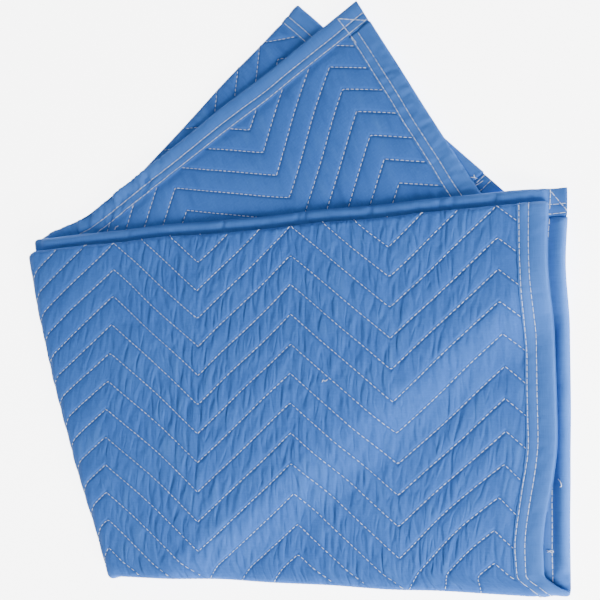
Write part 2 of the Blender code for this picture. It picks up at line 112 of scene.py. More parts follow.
# Where the front half leaves the back half and comes down to the floor
DROP_FROM_CREASE = 0.020
DROP_FROM_SIDE = 0.045
DROP_RUN = 0.10
DROP_HEIGHT = 3 * PITCH
DROP_ROUND = 0.06                # over which its two slopes run into each other
STEP_FROM = -0.015               # v past the bottom fold where the side edge starts to step in
STEP_RUN = 0.038                 # and over which it does

# Where the letter folds lie in v
LOWER_SPAN = END_SHOWS + PANEL_HEIGHT - PITCH
BEND_START = LOWER_SPAN - LOWER_SLACK
BEND_END = BEND_START + math.pi * PITCH
TOP_START = BEND_END + PANEL_HEIGHT - 1.5 * PITCH
TOP_END = TOP_START + math.pi * PITCH / 2
STACK_MIDDLE = PUFF_HALF + 2.5 * PITCH

# The camera of the photograph, in the frame's own metres
VIEW_FROM = (0.960, -0.274, 1.898)
VIEW_ALONG = (-0.4281, 0.1188, -0.8959)
VIEW_RIGHT = (0.9020, -0.0058, -0.4318)
VIEW_LENS = 68.1                 # mm, on a 36 mm sensor


def smooth(x):
    """0 below 0, 1 above 1 and a soft step between."""
    x = np.clip(x, 0.0, 1.0)
    return x * x * (3 - 2 * x)


def direction(angle):
    return np.array([math.cos(angle), math.sin(angle)])


def across(angle):
    """A quarter turn clockwise from direction(angle)."""
    return np.array([math.sin(angle), -math.cos(angle)])


FOLD_LENGTH = math.dist(FOLD_FOOT, FOLD_TOP)
FOLD_DOWN = np.subtract(FOLD_FOOT, FOLD_TOP) / FOLD_LENGTH
FOLD_IN = np.array([-FOLD_DOWN[1], FOLD_DOWN[0]])
FOLD_AXIS = np.array(FOLD_TOP) + FOLD_IN * 3 * PITCH


def layer_height(v):
    """Height in the strip's own stack: 0 lower layer, PITCH inner, 2 PITCH upper."""
    bend = np.clip((v - BEND_START) / PITCH, 0, math.pi)
    top = np.clip((v - TOP_START) / (PITCH / 2), 0, math.pi)
    return PITCH * (1 - np.cos(bend)) - PITCH / 2 * (1 - np.cos(top))


def upper_inset(v):
    """Distance of the upper layer's points below the top fold's outline."""
    return PANEL_HEIGHT - PITCH - np.clip(v - BEND_END, 0, TOP_START - BEND_END)


def step_in(v):
    """How far the side edge has stepped in, 0 to 1, on its way up from the bottom fold."""
    return smooth((v - BEND_END - STEP_FROM) / STEP_RUN)


def front_plan(u, v):
    """Plan of the half that stays in front, as if it went on flat past the slanted fold."""
    lower = v <= BEND_START
    bend = np.clip((v - BEND_START) / PITCH, 0, math.pi)
    top = np.clip((v - TOP_START) / (PITCH / 2), 0, math.pi)
    leaned = LOWER_LEAN * np.clip(v / BEND_START, 0, 1)
    stepped = leaned + (1 - leaned) * step_in(v)
    x = LOWER_SIDE + (UPPER_SIDE - LOWER_SIDE) * stepped - u
    flat = END_SHOWS - v * LOWER_SPAN / BEND_START
    y = np.where(lower, flat, -upper_inset(v) - PITCH * np.sin(bend) * (v < BEND_END))
    y = y + PITCH / 2 * np.sin(top)
    y = y - np.maximum(v - TOP_END, 0)
    return np.stack([x, y], -1)


def back_plan(u, v):
    """Plan of the half that is folded back, as if it went on flat past the slanted fold."""
    left = (u - WIDTH)[..., None]
    flap_rows = direction(FLAP_ANGLE)
    back_rows = direction(BACK_ANGLE)

    def lower(v):
        return np.array(FLAP_TIP) + left * flap_rows + v[..., None] * across(FLAP_ANGLE)

    def upper(inset):
        gather = 1 - BACK_GATHER * (1 - inset / PANEL_HEIGHT)
        return (np.array(BACK_TIP) + left * gather[..., None] * back_rows
                + inset[..., None] * across(BACK_ANGLE))

    foot = np.full_like(v, PANEL_HEIGHT - PITCH)
    lower_end = lower(np.full_like(v, BEND_START))
    upper_end = upper(foot)
    crease = (lower_end + upper_end) / 2
    near_crease = smooth(1 - (BEND_START - v) / CREASE_EASE)[..., None]
    flap = lower(v) + near_crease * (crease - lower_end)
    bend = np.clip((v - BEND_START) / PITCH, 0, math.pi)[..., None]
    out = across((FLAP_ANGLE + BACK_ANGLE) / 2)
    turn = crease + out * PITCH * np.sin(bend)
    near_crease = smooth(1 - (v - BEND_END) / CREASE_EASE)[..., None]
    back = upper(upper_inset(v)) + near_crease * (crease - upper_end)
    top = np.clip((v - TOP_START) / (PITCH / 2), 0, math.pi)[..., None]
    back = back - across(BACK_ANGLE) * PITCH / 2 * np.sin(top)
    past_top = np.maximum(v - TOP_END, 0)[..., None]
    let_out = BACK_GATHER * past_top / (LENGTH - TOP_END)
    inner = past_top * across(INNER_LEAN) + left * let_out * back_rows
    plan = np.where((v <= BEND_START)[..., None], flap, turn)
    return np.where((v >= BEND_END)[..., None], back + inner, plan)


def fold_span(v):
    """Where in u each line of cloth enters and leaves the slanted fold, and its slide."""
    def distance(plan, u):
        return (plan(np.full_like(v, u), v) - FOLD_AXIS) @ FOLD_IN

    def meets(plan):
        first, last = distance(plan, 0.0), distance(plan, WIDTH)
        return WIDTH * first / (first - last)

    start, end = meets(front_plan), meets(back_plan)
    start_down = (front_plan(start, v) - FOLD_AXIS) @ FOLD_DOWN
    end_down = (back_plan(end, v) - FOLD_AXIS) @ FOLD_DOWN
    return start, end, start_down, end_down


CREASE_POINT = back_plan(np.array([WIDTH]), np.array([BEND_START + math.pi / 2 * PITCH]))[0]
CREASE_OUT = across((FLAP_ANGLE + BACK_ANGLE) / 2)
SIDE_OUT = direction(FLAP_ANGLE)


def drop(plan):
    """How far the front half has come down to the floor beside the back half, 0 to 1."""
    past_crease = (plan - CREASE_POINT) @ CREASE_OUT - DROP_FROM_CREASE
    past_side = (plan - np.array(FLAP_TIP)) @ SIDE_OUT - DROP_FROM_SIDE
    past = (past_crease + past_side + np.hypot(past_crease - past_side, DROP_ROUND)) / 2
    return smooth(past / DROP_RUN)


def corner_pull(u, v, plan):
    """How far the cloth above the bottom right corner is drawn to the left."""
    low = smooth((-plan[..., 1] - PULL_FROM[0]) / (PULL_FROM[1] - PULL_FROM[0]))
    near = 1 - smooth((u - PULL_REACH[0]) / (PULL_REACH[1] - PULL_REACH[0]))
    return CORNER_PULL * low * near * step_in(v)


def corner_rise(u, plan):
    """How far the bottom fold's end is drawn up, which rounds its corner."""
    near = smooth(1 - u / RISE_REACH[0]) * smooth(1 - (PANEL_HEIGHT + plan[..., 1]) / RISE_REACH[1])
    return CORNER_RISE * near


def fold_bow(plan):
    """How far the slanted fold bows out, most a little above its middle."""
    down = ((plan - FOLD_AXIS) @ FOLD_DOWN) / FOLD_LENGTH
    return FOLD_BOW * np.sin(math.pi * np.clip((down + 0.2) / 1.2, 0, 1))


def near_fold(u, start, end):
    before, after = smooth(1 - (start - u) / BOW_EASE), smooth(1 - (u - end) / BOW_EASE)
    return np.minimum(before, after)


def middle(u, v):
    """The middle of the cloth in the folded blanket."""
    height = layer_height(v)
    start, end, start_down, end_down = fold_span(v)
    front = front_plan(u, v)
    back = back_plan(u, v)
    z_drop = DROP_HEIGHT * drop(front) * (u < start)
    front = front + np.stack([-corner_pull(u, v, front), corner_rise(u, front)], -1)
    turn = np.clip((u - start) / (end - start), 0, 1) * math.pi
    bulge = -(PITCH + height) * np.sin(turn)
    round_fold = FOLD_AXIS + start_down[..., None] * FOLD_DOWN + bulge[..., None] * FOLD_IN
    slide = (start_down - end_down) * (1 - smooth((u - end) / SLIP_EASE))
    back = back + slide[..., None] * FOLD_DOWN
    plan = np.where((u <= start)[..., None], front, round_fold)
    plan = np.where((u >= end)[..., None], back, plan)
    plan = plan - (fold_bow(plan) * near_fold(u, start, end))[..., None] * FOLD_IN
    z = STACK_MIDDLE + (PITCH / 2 + height) * np.cos(turn) - z_drop
    place = np.concatenate([plan - np.array(PLAN_CENTRE), z[..., None]], -1)
    return uneven(place)


@functools.lru_cache(maxsize=None)
def noise_table(seed):
    return np.random.default_rng(seed).uniform(-1, 1, (256, 256))


def noise(x, y, seed):
    """Soft random hills and hollows from -1 to 1, with a lattice point at each whole number."""
    table = noise_table(seed)
    column, row = np.floor(x).astype(int), np.floor(y).astype(int)
    right, up = smooth(x - column), smooth(y - row)

    def at(i, j):
        return table[(column + i) % 256, (row + j) % 256]

    low = at(0, 0) + (at(1, 0) - at(0, 0)) * right
    high = at(0, 1) + (at(1, 1) - at(0, 1)) * right
    return low + (high - low) * up


LUMP_SIZE = 0.16                 # across one of the stack's broad lumps
LUMP_HEIGHT = 0.07               # of the height above the floor
SWAY_SIZE = 0.11                 # along one of the slight waves in an outline
SWAY = 0.0022


def uneven(place):
    """The broad unevenness that all layers share, so that none runs into the next."""
    x, y, z = place[..., 0], place[..., 1], place[..., 2]
    lumps = 1 + LUMP_HEIGHT * noise(x / LUMP_SIZE + 40, y / LUMP_SIZE + 40, 11)
    sway_x = SWAY * noise(x / SWAY_SIZE + 40, y / SWAY_SIZE + 40, 12)
    sway_y = SWAY * noise(x / SWAY_SIZE + 40, y / SWAY_SIZE + 40, 13)
    return np.stack([x + sway_x, y + sway_y, z * lumps], -1)


def on_floor(points):
    """Cloth that would reach into the floor lies flat on it instead."""
    return np.concatenate([points[..., :2], np.maximum(points[..., 2:], 0.0)], -1)


def normals(u, v):
    """Unit normals on the blanket's outer side."""
    step = 0.0004
    along_u = middle(u + step, v) - middle(u - step, v)
    along_v = middle(u, v + step) - middle(u, v - step)
    normal = np.cross(along_v, along_u)
    return normal / np.linalg.norm(normal, axis=-1, keepdims=True)


def zigzag(u):
    """Depth of the zigzag rows at u: least at the corners nearest the two ends' sides."""
    phase = (u - FIRST_CORNER) / HALF_WAVE
    return CHEVRON * np.abs((phase - 1) % 2 - 1)


def channel(u, v):
    """Which channel between two rows a point lies in, and how far across it, 0 to 1."""
    rows = (v + zigzag(u)) / ROW - ROW_PHASE
    return np.floor(rows), rows % 1


def rests(u, v):
    """1 where the outer side lies on the floor, 0 where another layer is under it."""
    start, end, _, _ = fold_span(v)
    plan = front_plan(u, v)
    under_front = drop(plan) * (u < start) * (v < BEND_START)
    under_back = (u > end) * (v > BEND_END) * (v < TOP_START)
    return np.maximum(under_front, under_back)


UNDER_FRONT = -0.03              # plan y below which the front half hides the back half


def shown(u, v, reach=0.0):
    """Where the outer side can be seen: the front's upper layer and what sticks out behind.

    A reach takes in the folds that bound them as well.
    """
    start, end, _, _ = fold_span(v)
    upper = (v > BEND_END - reach) & (v < TOP_START + reach) & (u < end + reach)
    behind = (u > start - reach) & (back_plan(u, v)[..., 1] > UNDER_FRONT - reach)
    flap = (v < BEND_START + reach) & behind
    inner = (v > TOP_END - reach) & behind
    return upper | flap | inner


def to_edge(u, v):
    return np.minimum(np.minimum(u, WIDTH - u), np.minimum(v, LENGTH - v))


# Puckers that the quilting draws up between its rows
PUCKER_SHARE = {"front": 1.0, "flap": 0.20, "inner": 0.45}
PUCKER_WIDE = 0.0105             # half of a pucker's width
PUCKER_LONG = 0.058              # half of its length
PUCKER_LEAN = 0.17               # how far a pucker leans to the side as it runs down
CALM_FROM = (0.70, 1.00)         # u over which the front's puckers die out to the left
CALM_SIDE = (0.05, 0.20)         # and to the right


def pucker_strength(u, v):
    start, _, _, _ = fold_span(v)
    front = (u < start) & (v > BEND_START) & (v < TOP_END)
    calm = 1 - 0.62 * smooth((u - CALM_FROM[0]) / (CALM_FROM[1] - CALM_FROM[0]))
    calm = calm * (0.5 + 0.5 * smooth((u - CALM_SIDE[0]) / (CALM_SIDE[1] - CALM_SIDE[0])))
    back = np.where(v < BEND_START, PUCKER_SHARE["flap"], PUCKER_SHARE["inner"])
    return np.where(front, PUCKER_SHARE["front"] * calm, back)


def puckers(u, v):
    """Upright puckers, some running on over several channels and some in one alone."""
    number, over = channel(u, v)
    x, y = (u + PUCKER_LEAN * (v - BEND_END)) / PUCKER_WIDE, v / PUCKER_LONG
    shared = noise(x, y, 21)
    own = noise(x * 0.8 + 31.7 * number, y + 17.3 * number, 22)
    own = 1 - 2.4 * np.sqrt(own * own + 0.01)
    broad = noise(x / 2.8 + 9.1 * number, y / 1.3, 23)
    patch = 0.65 + 0.5 * noise(u / 0.09, v / 0.11, 24)
    held = np.sin(math.pi * over) ** 0.55
    return (0.50 * shared + 0.42 * own + 0.40 * broad) * patch * (0.25 + 0.75 * held)


TAUT = 0.6                       # share of the puff that the slanted fold pulls flat


def puff(u, v):
    """How full the quilting is, from 0 at a stitched row to 1 midway between two."""
    _, over = channel(u, v)
    start, end, _, _ = fold_span(v)
    round_fold = np.sin(math.pi * np.clip((u - start) / (end - start), 0, 1))
    fullness = 1 + 0.18 * noise(u / 0.07, v / 0.07, 25)
    return np.sin(math.pi * over) ** 0.6 * (1 - TAUT * round_fold) * fullness


def outer_height(u, v, look):
    """Height of the outer side above the middle of the cloth."""
    visible = shown(u, v)
    half = np.where(visible, SEAM_HALF + (look.puff - SEAM_HALF) * puff(u, v), HIDDEN_HALF)
    half = half + visible * look.pucker * pucker_strength(u, v) * puckers(u, v)
    rise = smooth((to_edge(u, v) - MARGIN) / PUFF_RISE)
    height = np.maximum(SEAM_HALF + (half - SEAM_HALF) * rise, 0.0007)
    return height + (PUFF_HALF - height) * rests(u, v) * rise


def inner_height(u, v):
    rise = smooth((to_edge(u, v) - MARGIN) / PUFF_RISE)
    return SEAM_HALF + (HIDDEN_HALF - SEAM_HALF) * rise


def outer_place(u, v, look, lift=0.0):
    """A point on the cloth's outer side, or lifted a little off it."""
    height = outer_height(u, v, look) + lift
    return on_floor(middle(u, v) + normals(u, v) * height[..., None])


# The flat cloth's points
PER_ROW = 10                     # lines of points from one stitched row to the next
COLUMN = ROW / 15                # from one column of points to the next
COARSE = 5                       # times that where the cloth doesn't show
RIM_STEP = 0.0045                # between points round the outline
BEND_LINES = 8                   # lines of points round a letter fold
CLEAR = 0.0017                   # a lattice point this near such a line is left out
FOLD_REACH = 0.014               # fine points go on this far past a fold


def near_a_fold(u, v):
    start, end, _, _ = fold_span(v)
    slanted = (u > start - FOLD_REACH) & (u < end + FOLD_REACH)
    bottom = (v > BEND_START - FOLD_REACH) & (v < BEND_END + FOLD_REACH)
    top = (v > TOP_START - FOLD_REACH) & (v < TOP_END + FOLD_REACH)
    return slanted | bottom | top


def line_places():
    """The v of each line of points round the letter folds."""
    places = []
    for first, last in ((BEND_START, BEND_END), (TOP_START, TOP_END)):
        places += [first + (last - first) * i / BEND_LINES for i in range(BEND_LINES + 1)]
    return places


def rim_points():
    """The flat cloth's outline, anticlockwise."""
    across_count, down_count = round(WIDTH / RIM_STEP), round(LENGTH / RIM_STEP)
    along = [WIDTH * i / across_count for i in range(across_count)]
    down = [LENGTH * i / down_count for i in range(down_count)]
    points = [(u, 0.0) for u in along] + [(WIDTH, v) for v in down]
    points += [(WIDTH - u, LENGTH) for u in along] + [(0.0, LENGTH - v) for v in down]
    return np.array(points)


def lattice(where, near_step):
    """Points on lines that follow the zigzag rows, close together where asked.

    The columns are set half a step off, so that the zigzag's corners lie on them.
    """
    columns, rows = round(WIDTH / COLUMN) - 1, math.ceil((LENGTH + CHEVRON) / ROW) + 1
    i, j = np.meshgrid(np.arange(columns), np.arange(-PER_ROW, rows * PER_ROW), indexing="ij")
    i, j = i.ravel(), j.ravel()
    u = (i + 0.5) * COLUMN
    v = (j / PER_ROW + ROW_PHASE) * ROW - zigzag(u)
    kept = (v > COLUMN / 2) & (v < LENGTH - COLUMN / 2) & (u < WIDTH - COLUMN / 3)
    i, j, u, v = i[kept], j[kept], u[kept], v[kept]
    close = where(u, v) & (i % near_step == 0) & (j % near_step == 0)
    kept = close | ((i % COARSE == 0) & (j % COARSE == 0))
    for place in line_places():
        kept &= np.abs(v - place) > CLEAR
    return np.stack([u[kept], v[kept]], -1)


def fold_points(where, far_step):
    """Points round the letter folds, on lines across the whole blanket."""
    i, v = np.meshgrid(np.arange(round(WIDTH / COLUMN) - 1), line_places(), indexing="ij")
    i, v = i.ravel(), v.ravel()
    u = (i + 0.5) * COLUMN
    kept = (where(u, v) | (i % far_step == 0)) & (u < WIDTH - COLUMN / 3)
    return np.stack([u[kept], v[kept]], -1)


def flat_triangles(points, rim_count):
    """Triangles between points whose first rim_count lie round the outline."""
    ring = [(i, (i + 1) % rim_count) for i in range(rim_count)]
    found = delaunay_2d_cdt([Vector(p) for p in points.tolist()], ring, [], 1, 1e-7)
    flat = np.array([tuple(p) for p in found[0]])
    faces = np.array(found[2])
    a, b, c = flat[faces[:, 0]], flat[faces[:, 1]], flat[faces[:, 2]]
    turn = (b[:, 0] - a[:, 0]) * (c[:, 1] - a[:, 1]) - (c[:, 0] - a[:, 0]) * (b[:, 1] - a[:, 1])
    faces[turn > 0] = faces[turn > 0][:, ::-1]
    return flat, faces


def new_piece(name, points, faces, material, uv=None):
    """A smooth mesh object at the origin. uv gives each point its place on the flat cloth."""
    mesh = bpy.data.meshes.new(name)
    mesh.from_pydata(points.tolist(), [], faces if isinstance(faces, list) else faces.tolist())
    mesh.materials.append(material)
    if uv is not None:
        layer = mesh.uv_layers.new(name="UVMap")
        corner = np.empty(len(mesh.loops), int)
        mesh.loops.foreach_get("vertex_index", corner)
        layer.data.foreach_set("uv", uv[corner].astype(np.float32).ravel())
    mesh.shade_smooth()
    piece = bpy.data.objects.new(name, mesh)
    bpy.context.scene.collection.objects.link(piece)
    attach(piece, "root")
    return piece


def add_value(piece, name, values):
    """A number for each point of a piece, which its material reads by name."""
    attribute = piece.data.attributes.new(name, "FLOAT", "POINT")
    attribute.data.foreach_set("value", values.astype(np.float32))


def build_cloth(material, look):
    """Outer side, inner side and the cut edge between them, as one closed sheet."""
    def seen(u, v):
        return shown(u, v, FOLD_REACH)

    rim = rim_points()
    fine = np.concatenate([rim, fold_points(seen, 3),
                           lattice(lambda u, v: seen(u, v) | near_a_fold(u, v), 1)])
    rough = np.concatenate([rim, fold_points(lambda u, v: u < 0, 3), lattice(near_a_fold, 3)])
    flat_out, faces_out = flat_triangles(fine, len(rim))
    flat_in, faces_in = flat_triangles(rough, len(rim))
    u, v = flat_out[:, 0], flat_out[:, 1]
    outer = outer_place(u, v, look)
    ui, vi = flat_in[:, 0], flat_in[:, 1]
    inner = on_floor(middle(ui, vi) - normals(ui, vi) * inner_height(ui, vi)[:, None])
    count, ring = len(flat_out), np.arange(len(rim))
    after = np.roll(ring, -1)
    walls = np.stack([ring, after, after + count, ring + count], -1)
    faces = faces_out.tolist() + (faces_in[:, ::-1] + count).tolist() + walls.tolist()
    piece = new_piece("quilted_cloth", np.concatenate([outer, inner]), faces, material,
                      np.concatenate([flat_out, flat_in]))
    none = np.zeros(len(ui))
    # pucker height, which the cloth's material turns into painted highlight on crests and painted
    # shade in hollows
    crest = np.where(shown(u, v), puckers(u, v), 0)
    _, over = channel(u, v)
    inside = smooth((to_edge(u, v) - MARGIN) / 0.004)
    add_value(piece, "crest", np.concatenate([crest, none]))
    drawn = np.sin(math.pi * over) ** 0.5 * pucker_strength(u, v) * inside
    add_value(piece, "drawn", np.concatenate([drawn, none]))
    return piece


# The edge tape's section on one side of the cloth: reach in from the cloth's edge and
# height above its middle, in mm, from the free edge to the round nose
TAPE_SECTION = (
    (47.0, 1.5), (47.3, 2.1), (46.4, 2.6), (45.0, 2.3), (43.5, 1.6), (42.0, 2.3), (39.5, 2.8),
    (35.5, 3.0), (31.5, 2.8), (29.3, 2.2), (27.5, 1.6), (25.8, 2.1), (24.2, 2.6), (22.4, 2.9),
    (20.0, 3.3), (17.0, 3.5), (13.5, 3.7), (10.0, 3.7), (6.8, 3.6), (4.0, 3.3), (2.0, 3.0),
    (0.6, 2.6), (-0.6, 2.0), (-1.5, 1.1), (-2.0, 0.0),
)
TAPE_STEP = 0.0042               # from one of its sections to the next
SEAM_SHADE = 0.0035              # how far from a stitched row the tape is painted darker, as painted shade in its groove
FACE_SWELL = 0.0010              # by which the tape's loose part stands up on the outer side
OUTER_ROW = 0.0275               # the tape's two stitched rows, in from the cloth's edge
INNER_ROW = 0.0435
TUCK_WIDE = 0.0095               # half of one of the tape's puckers, along the tape
TUCK_DEEP = 0.022                # and half of one across it

# u of the places where the top band's roll is pinched, and how deep the pinch is
PINCHES = (
    (0.860, 0.35), (0.648, 0.75), (0.489, 0.70), (0.476, 0.85), (0.342, 0.80),
    (0.212, 0.45), (0.188, 0.55), (0.116, 0.75),
)
PINCH_WIDE = 0.0042
ROLL_START = 0.0250              # the loose fold swells between here and its nose
ROLL_WIDE = 0.0270
ROLL_SKEW = 1.5                  # above 1, the roll is highest nearer to its nose
CORNER_CURL = 0.0040             # by which the near corner's side edge curls up
CURL_WIDE = 0.022


def roll_share(u, v):
    """How far the loose fold of tape swells into a roll, 0 to 1, at its free places."""
    start, _, _, _ = fold_span(v)
    front = (v < BEND_START) & (u < start)
    in_band = (v < MARGIN) & (u > OUTER_ROW)
    band = smooth((u - OUTER_ROW - 0.002) / 0.010) * smooth((start - u) / 0.03)
    for place, depth in PINCHES:
        band = band * (1 - depth * np.exp(-((u - place) / PINCH_WIDE) ** 2))
    tube = smooth((v - MARGIN - 0.0015) / 0.008) * smooth((BEND_START - 0.012 - v) / 0.03)
    return front * np.where(in_band, 0.8 * band, np.where(v < MARGIN, 0.0, tube))


def tuck_share(u, v):
    """How strongly a tape is puckered."""
    _, end, _, _ = fold_span(v)
    back = u > end
    flap_side = back & (u > WIDTH - MARGIN) & (v < BEND_START)
    flap_foot = back & (v < MARGIN) & (u < end + 0.42)
    at_bend = (u < MARGIN) & (v > BEND_START - 0.03) & (v < BEND_END + 0.02)
    share = np.where(flap_side, 1.25 * smooth((v - 0.05) / 0.10), 0.45)
    share = np.where(flap_foot, 0.5 + 2.2 * smooth((end + 0.42 - u) / 0.20), share)
    return np.where(at_bend, 1.5, share)


def tape_height(side, reach, along, base, seed, u, v, look):
    """Height of a tape's point above the cloth's middle, with its roll and puckers."""
    held = np.clip(np.abs(reach - OUTER_ROW) / 0.006, 0, 1)
    held = held * np.clip(np.abs(reach - INNER_ROW) / 0.004, 0, 1)
    tuck = noise(along / TUCK_WIDE + 0.25 * reach / TUCK_WIDE, reach / TUCK_DEEP + 7, seed + side)
    tuck = tuck + 0.5 * noise(along / TUCK_WIDE * 2.1, reach / TUCK_DEEP + 9, seed + side + 3)
    height = base + (base > 0) * look.tuck * tuck_share(u, v) * tuck * (0.3 + 0.7 * held)
    if side == 0:
        loose = np.where(shown(u, v), FACE_SWELL, 0.0)
    else:
        loose = look.roll * roll_share(u, v)
    long_wave = 0.85 + 0.15 * noise(along / 0.035, reach * 0 + 3, seed + 5)
    over = np.clip((ROLL_START - reach) / ROLL_WIDE, 0, 1) ** ROLL_SKEW
    height = height + (base > 0) * loose * long_wave * np.sin(math.pi * over) ** 0.8
    start, _, _, _ = fold_span(v)
    corner = (side == 1) * (v < MARGIN) * (u < start) * (1 - smooth(u / CURL_WIDE))
    return height + (base > 0) * CORNER_CURL * corner


def build_tape(node, material, look):
    """A tape folded over one edge, section by section along it."""
    seed = TAPES[node][2]
    stops = evenly(*tape_span(node), TAPE_STEP)
    half = np.array(TAPE_SECTION) / 1000
    reach = np.concatenate([half[:, 0], half[-2::-1, 0]])
    base = np.concatenate([half[:, 1], half[-2::-1, 1]])
    side = np.concatenate([np.ones(len(half)), -np.ones(len(half) - 1)])
    stop, reaches = np.meshgrid(stops, reach, indexing="ij")
    sides = np.broadcast_to(side, stop.shape)
    u, v = tape_place(node, reaches, stop)
    height = np.where(
        sides > 0,
        tape_height(0, reaches, stop, base, seed, u, v, look),
        tape_height(1, reaches, stop, base, seed, u, v, look))
    points = on_floor(middle(u, v) + normals(u, v) * (sides * height)[..., None])
    count, size = points.shape[:2]
    i, j = np.meshgrid(np.arange(count - 1), np.arange(size), indexing="ij")
    k = (j + 1) % size
    quads = np.stack([i * size + j, i * size + k, (i + 1) * size + k, (i + 1) * size + j], -1)
    faces = quads.reshape(-1, 4).tolist()
    last = (count - 1) * size
    for a in range(size // 2):
        b = size - 1 - a
        ends = [a, b, b - 1, a + 1] if a + 1 != b - 1 else [a, b, a + 1]
        if a + 1 != b:
            faces += [ends, [last + q for q in reversed(ends)]]
    # closeness to a stitched row, which the tape's material turns into painted shade in the pinched
    # grooves
    from_row = np.minimum(np.abs(reaches - OUTER_ROW), np.abs(reaches - INNER_ROW))
    seam = np.exp(-(from_row / SEAM_SHADE) ** 2)
    piece = new_piece(node + "_twill", points.reshape(-1, 3), faces, material,
                      np.stack([u.ravel(), v.ravel()], -1))
    add_value(piece, "seam", seam.ravel())
    return piece


def evenly(first, last, step):
    return np.linspace(first, last, max(2, math.ceil((last - first) / step)) + 1)


# Each tape: whether it is at an end or a side, whether that is the far one, and its seed
TAPES = {
    "side_tape_front": (False, False, 31),
    "side_tape_back": (False, True, 41),
    "end_tape_lower": (True, False, 51),
    "end_tape_inner": (True, True, 61),
}


def tape_place(node, reach, stop):
    """Flat (u, v) at a reach in from the tape's edge and a stop along it."""
    at_end, far, _ = TAPES[node]
    edge = (LENGTH if at_end else WIDTH) - reach if far else reach
    return (stop, edge) if at_end else (edge, stop)


def tape_reach(node, u, v):
    """The other way round: reach and stop of a flat point."""
    at_end, far, _ = TAPES[node]
    edge, stop = (v, u) if at_end else (u, v)
    return ((LENGTH if at_end else WIDTH) - edge if far else edge), stop


def tape_span(node):
    """Where a tape starts and stops: the side tapes lie between the end tapes."""
    at_end = TAPES[node][0]
    return (0.0, WIDTH) if at_end else (MARGIN + CORNER_GAP, LENGTH - MARGIN - CORNER_GAP)


# Sewing
STITCH_LEAN = HALF_WAVE / math.hypot(HALF_WAVE, CHEVRON)
QUILT_PITCH = 0.0095             # from one quilting stitch to the next
QUILT_SHARE = 0.70               # of that, thread on top
TAPE_PITCH = 0.0107              # the same for the rows on the tapes
TAPE_SHARE = 0.93
THREAD_SIDES = 5
THREAD_RINGS = ((0.02, 0.55, -0.35), (0.16, 1.0, 0.45), (0.5, 1.0, 0.85), (0.84, 1.0, 0.45),
                (0.98, 0.55, -0.35))   # share along, thickness, and lift in thread widths
THREAD_TWIST = 0.0014            # length of one turn of the thread's strands, drawn long
THREAD_ROUND = 0.003             # of the UV map's second number, once round the thread
SINK = 0.0001                    # by which a thread's belly lies in the cloth
ROW_WANDER = 0.0007              # by which a row on a tape strays
BAND_ROW = (0.10, 0.43, 0.004)   # u from and to where the lower end's row comes out, and how far
TACK_THICK = 1.25                # a tack is sewn over twice
END_POINTS = 14
END_LIFT = 0.0022                # height of a loose end's arch

# Studio
SENSOR = 36.0                    # mm
FLOOR_SIZE = 9.0
FLOOR_DROP = -0.0003             # just clear of the cloth that rests on it
LIGHTS = {                       # place, size and share of the key light's power
    "key_light": ((2.2, -2.2, 1.6), 1.5, 1.0),
    "soft_light": ((-0.3, 0.2, 3.2), 2.6, 0.12),
}


def thread_mesh(name, path, up, thickness, material):
    """Stitches as short round threads. path is (stitch, ring, xyz), up the way off the cloth."""
    count, rings = path.shape[:2]
    along = np.gradient(path, axis=1)
    along /= np.linalg.norm(along, axis=-1, keepdims=True)
    side = np.cross(up, along)
    side /= np.linalg.norm(side, axis=-1, keepdims=True)
    over = np.cross(along, side)
    turn = np.arange(THREAD_SIDES) / THREAD_SIDES * 2 * math.pi
    ring = (side[:, :, None] * np.cos(turn)[None, None, :, None]
            + over[:, :, None] * np.sin(turn)[None, None, :, None])
    points = path[:, :, None] + ring * thickness[:, :, None, None] / 2
    points = points.reshape(count, -1, 3)
    pattern = []
    for r in range(rings - 1):
        for a in range(THREAD_SIDES):
            b = (a + 1) % THREAD_SIDES
            low, high = r * THREAD_SIDES, (r + 1) * THREAD_SIDES
            pattern += [(low + a, high + a, high + b), (low + a, high + b, low + b)]
    last = (rings - 1) * THREAD_SIDES
    for a in range(1, THREAD_SIDES - 1):
        pattern += [(0, a, a + 1), (last, last + a + 1, last + a)]
    faces = (np.arange(count)[:, None, None] * rings * THREAD_SIDES + np.array(pattern))
    length = np.concatenate([np.zeros((count, 1)), np.cumsum(
        np.linalg.norm(np.diff(path, axis=1), axis=-1), axis=1)], 1)
    uv = np.stack(np.broadcast_arrays(length[:, :, None], np.arange(THREAD_SIDES)[None, None, :]
                                      / THREAD_SIDES * THREAD_ROUND), -1)
    return new_piece(name, points.reshape(-1, 3), faces.reshape(-1, 3), material,
                     uv.reshape(-1, 2))


def sew(name, surface, first, last, thickness, material, seed):
    """Stitches from first to last, both flat (u, v), on the surface that is given."""
    shape = np.array(THREAD_RINGS)
    share = shape[:, 0]
    flat = first[:, None] + (last - first)[:, None] * share[None, :, None]
    vary = np.random.default_rng(seed).uniform(0.88, 1.12, len(first))
    wide = thickness * vary[:, None] * shape[:, 1]
    place, up = surface(flat[..., 0], flat[..., 1])
    path = place + up * (shape[:, 2] * thickness - SINK)[None, :, None]
    clear = path[..., 2].min(axis=1) > thickness
    return thread_mesh(name, path[clear], up[clear], wide[clear], material)


def quilting_stitches():
    """The flat ends of each stitch of the quilting rows, where they can be seen."""
    rows = math.ceil((LENGTH + CHEVRON) / ROW) + 1
    step = QUILT_PITCH * STITCH_LEAN
    number, row = np.meshgrid(np.arange(int(WIDTH / step)), np.arange(-1, rows), indexing="ij")
    number, row = number.ravel(), row.ravel()
    shift = np.random.default_rng(71).uniform(0, 1, rows + 1)[row + 1]
    first = (number + shift) * step
    last = first + step * QUILT_SHARE

    def point(u):
        return np.stack([u, (row + ROW_PHASE) * ROW - zigzag(u)], -1)

    a, b = point(first), point(last)
    inside = to_edge(*((a + b) / 2).T) > TAPE_WIDTH + 0.0005
    kept = inside & shown(a[:, 0], a[:, 1], 0.006) & (rests(a[:, 0], a[:, 1]) < 0.02)
    return a[kept], b[kept]


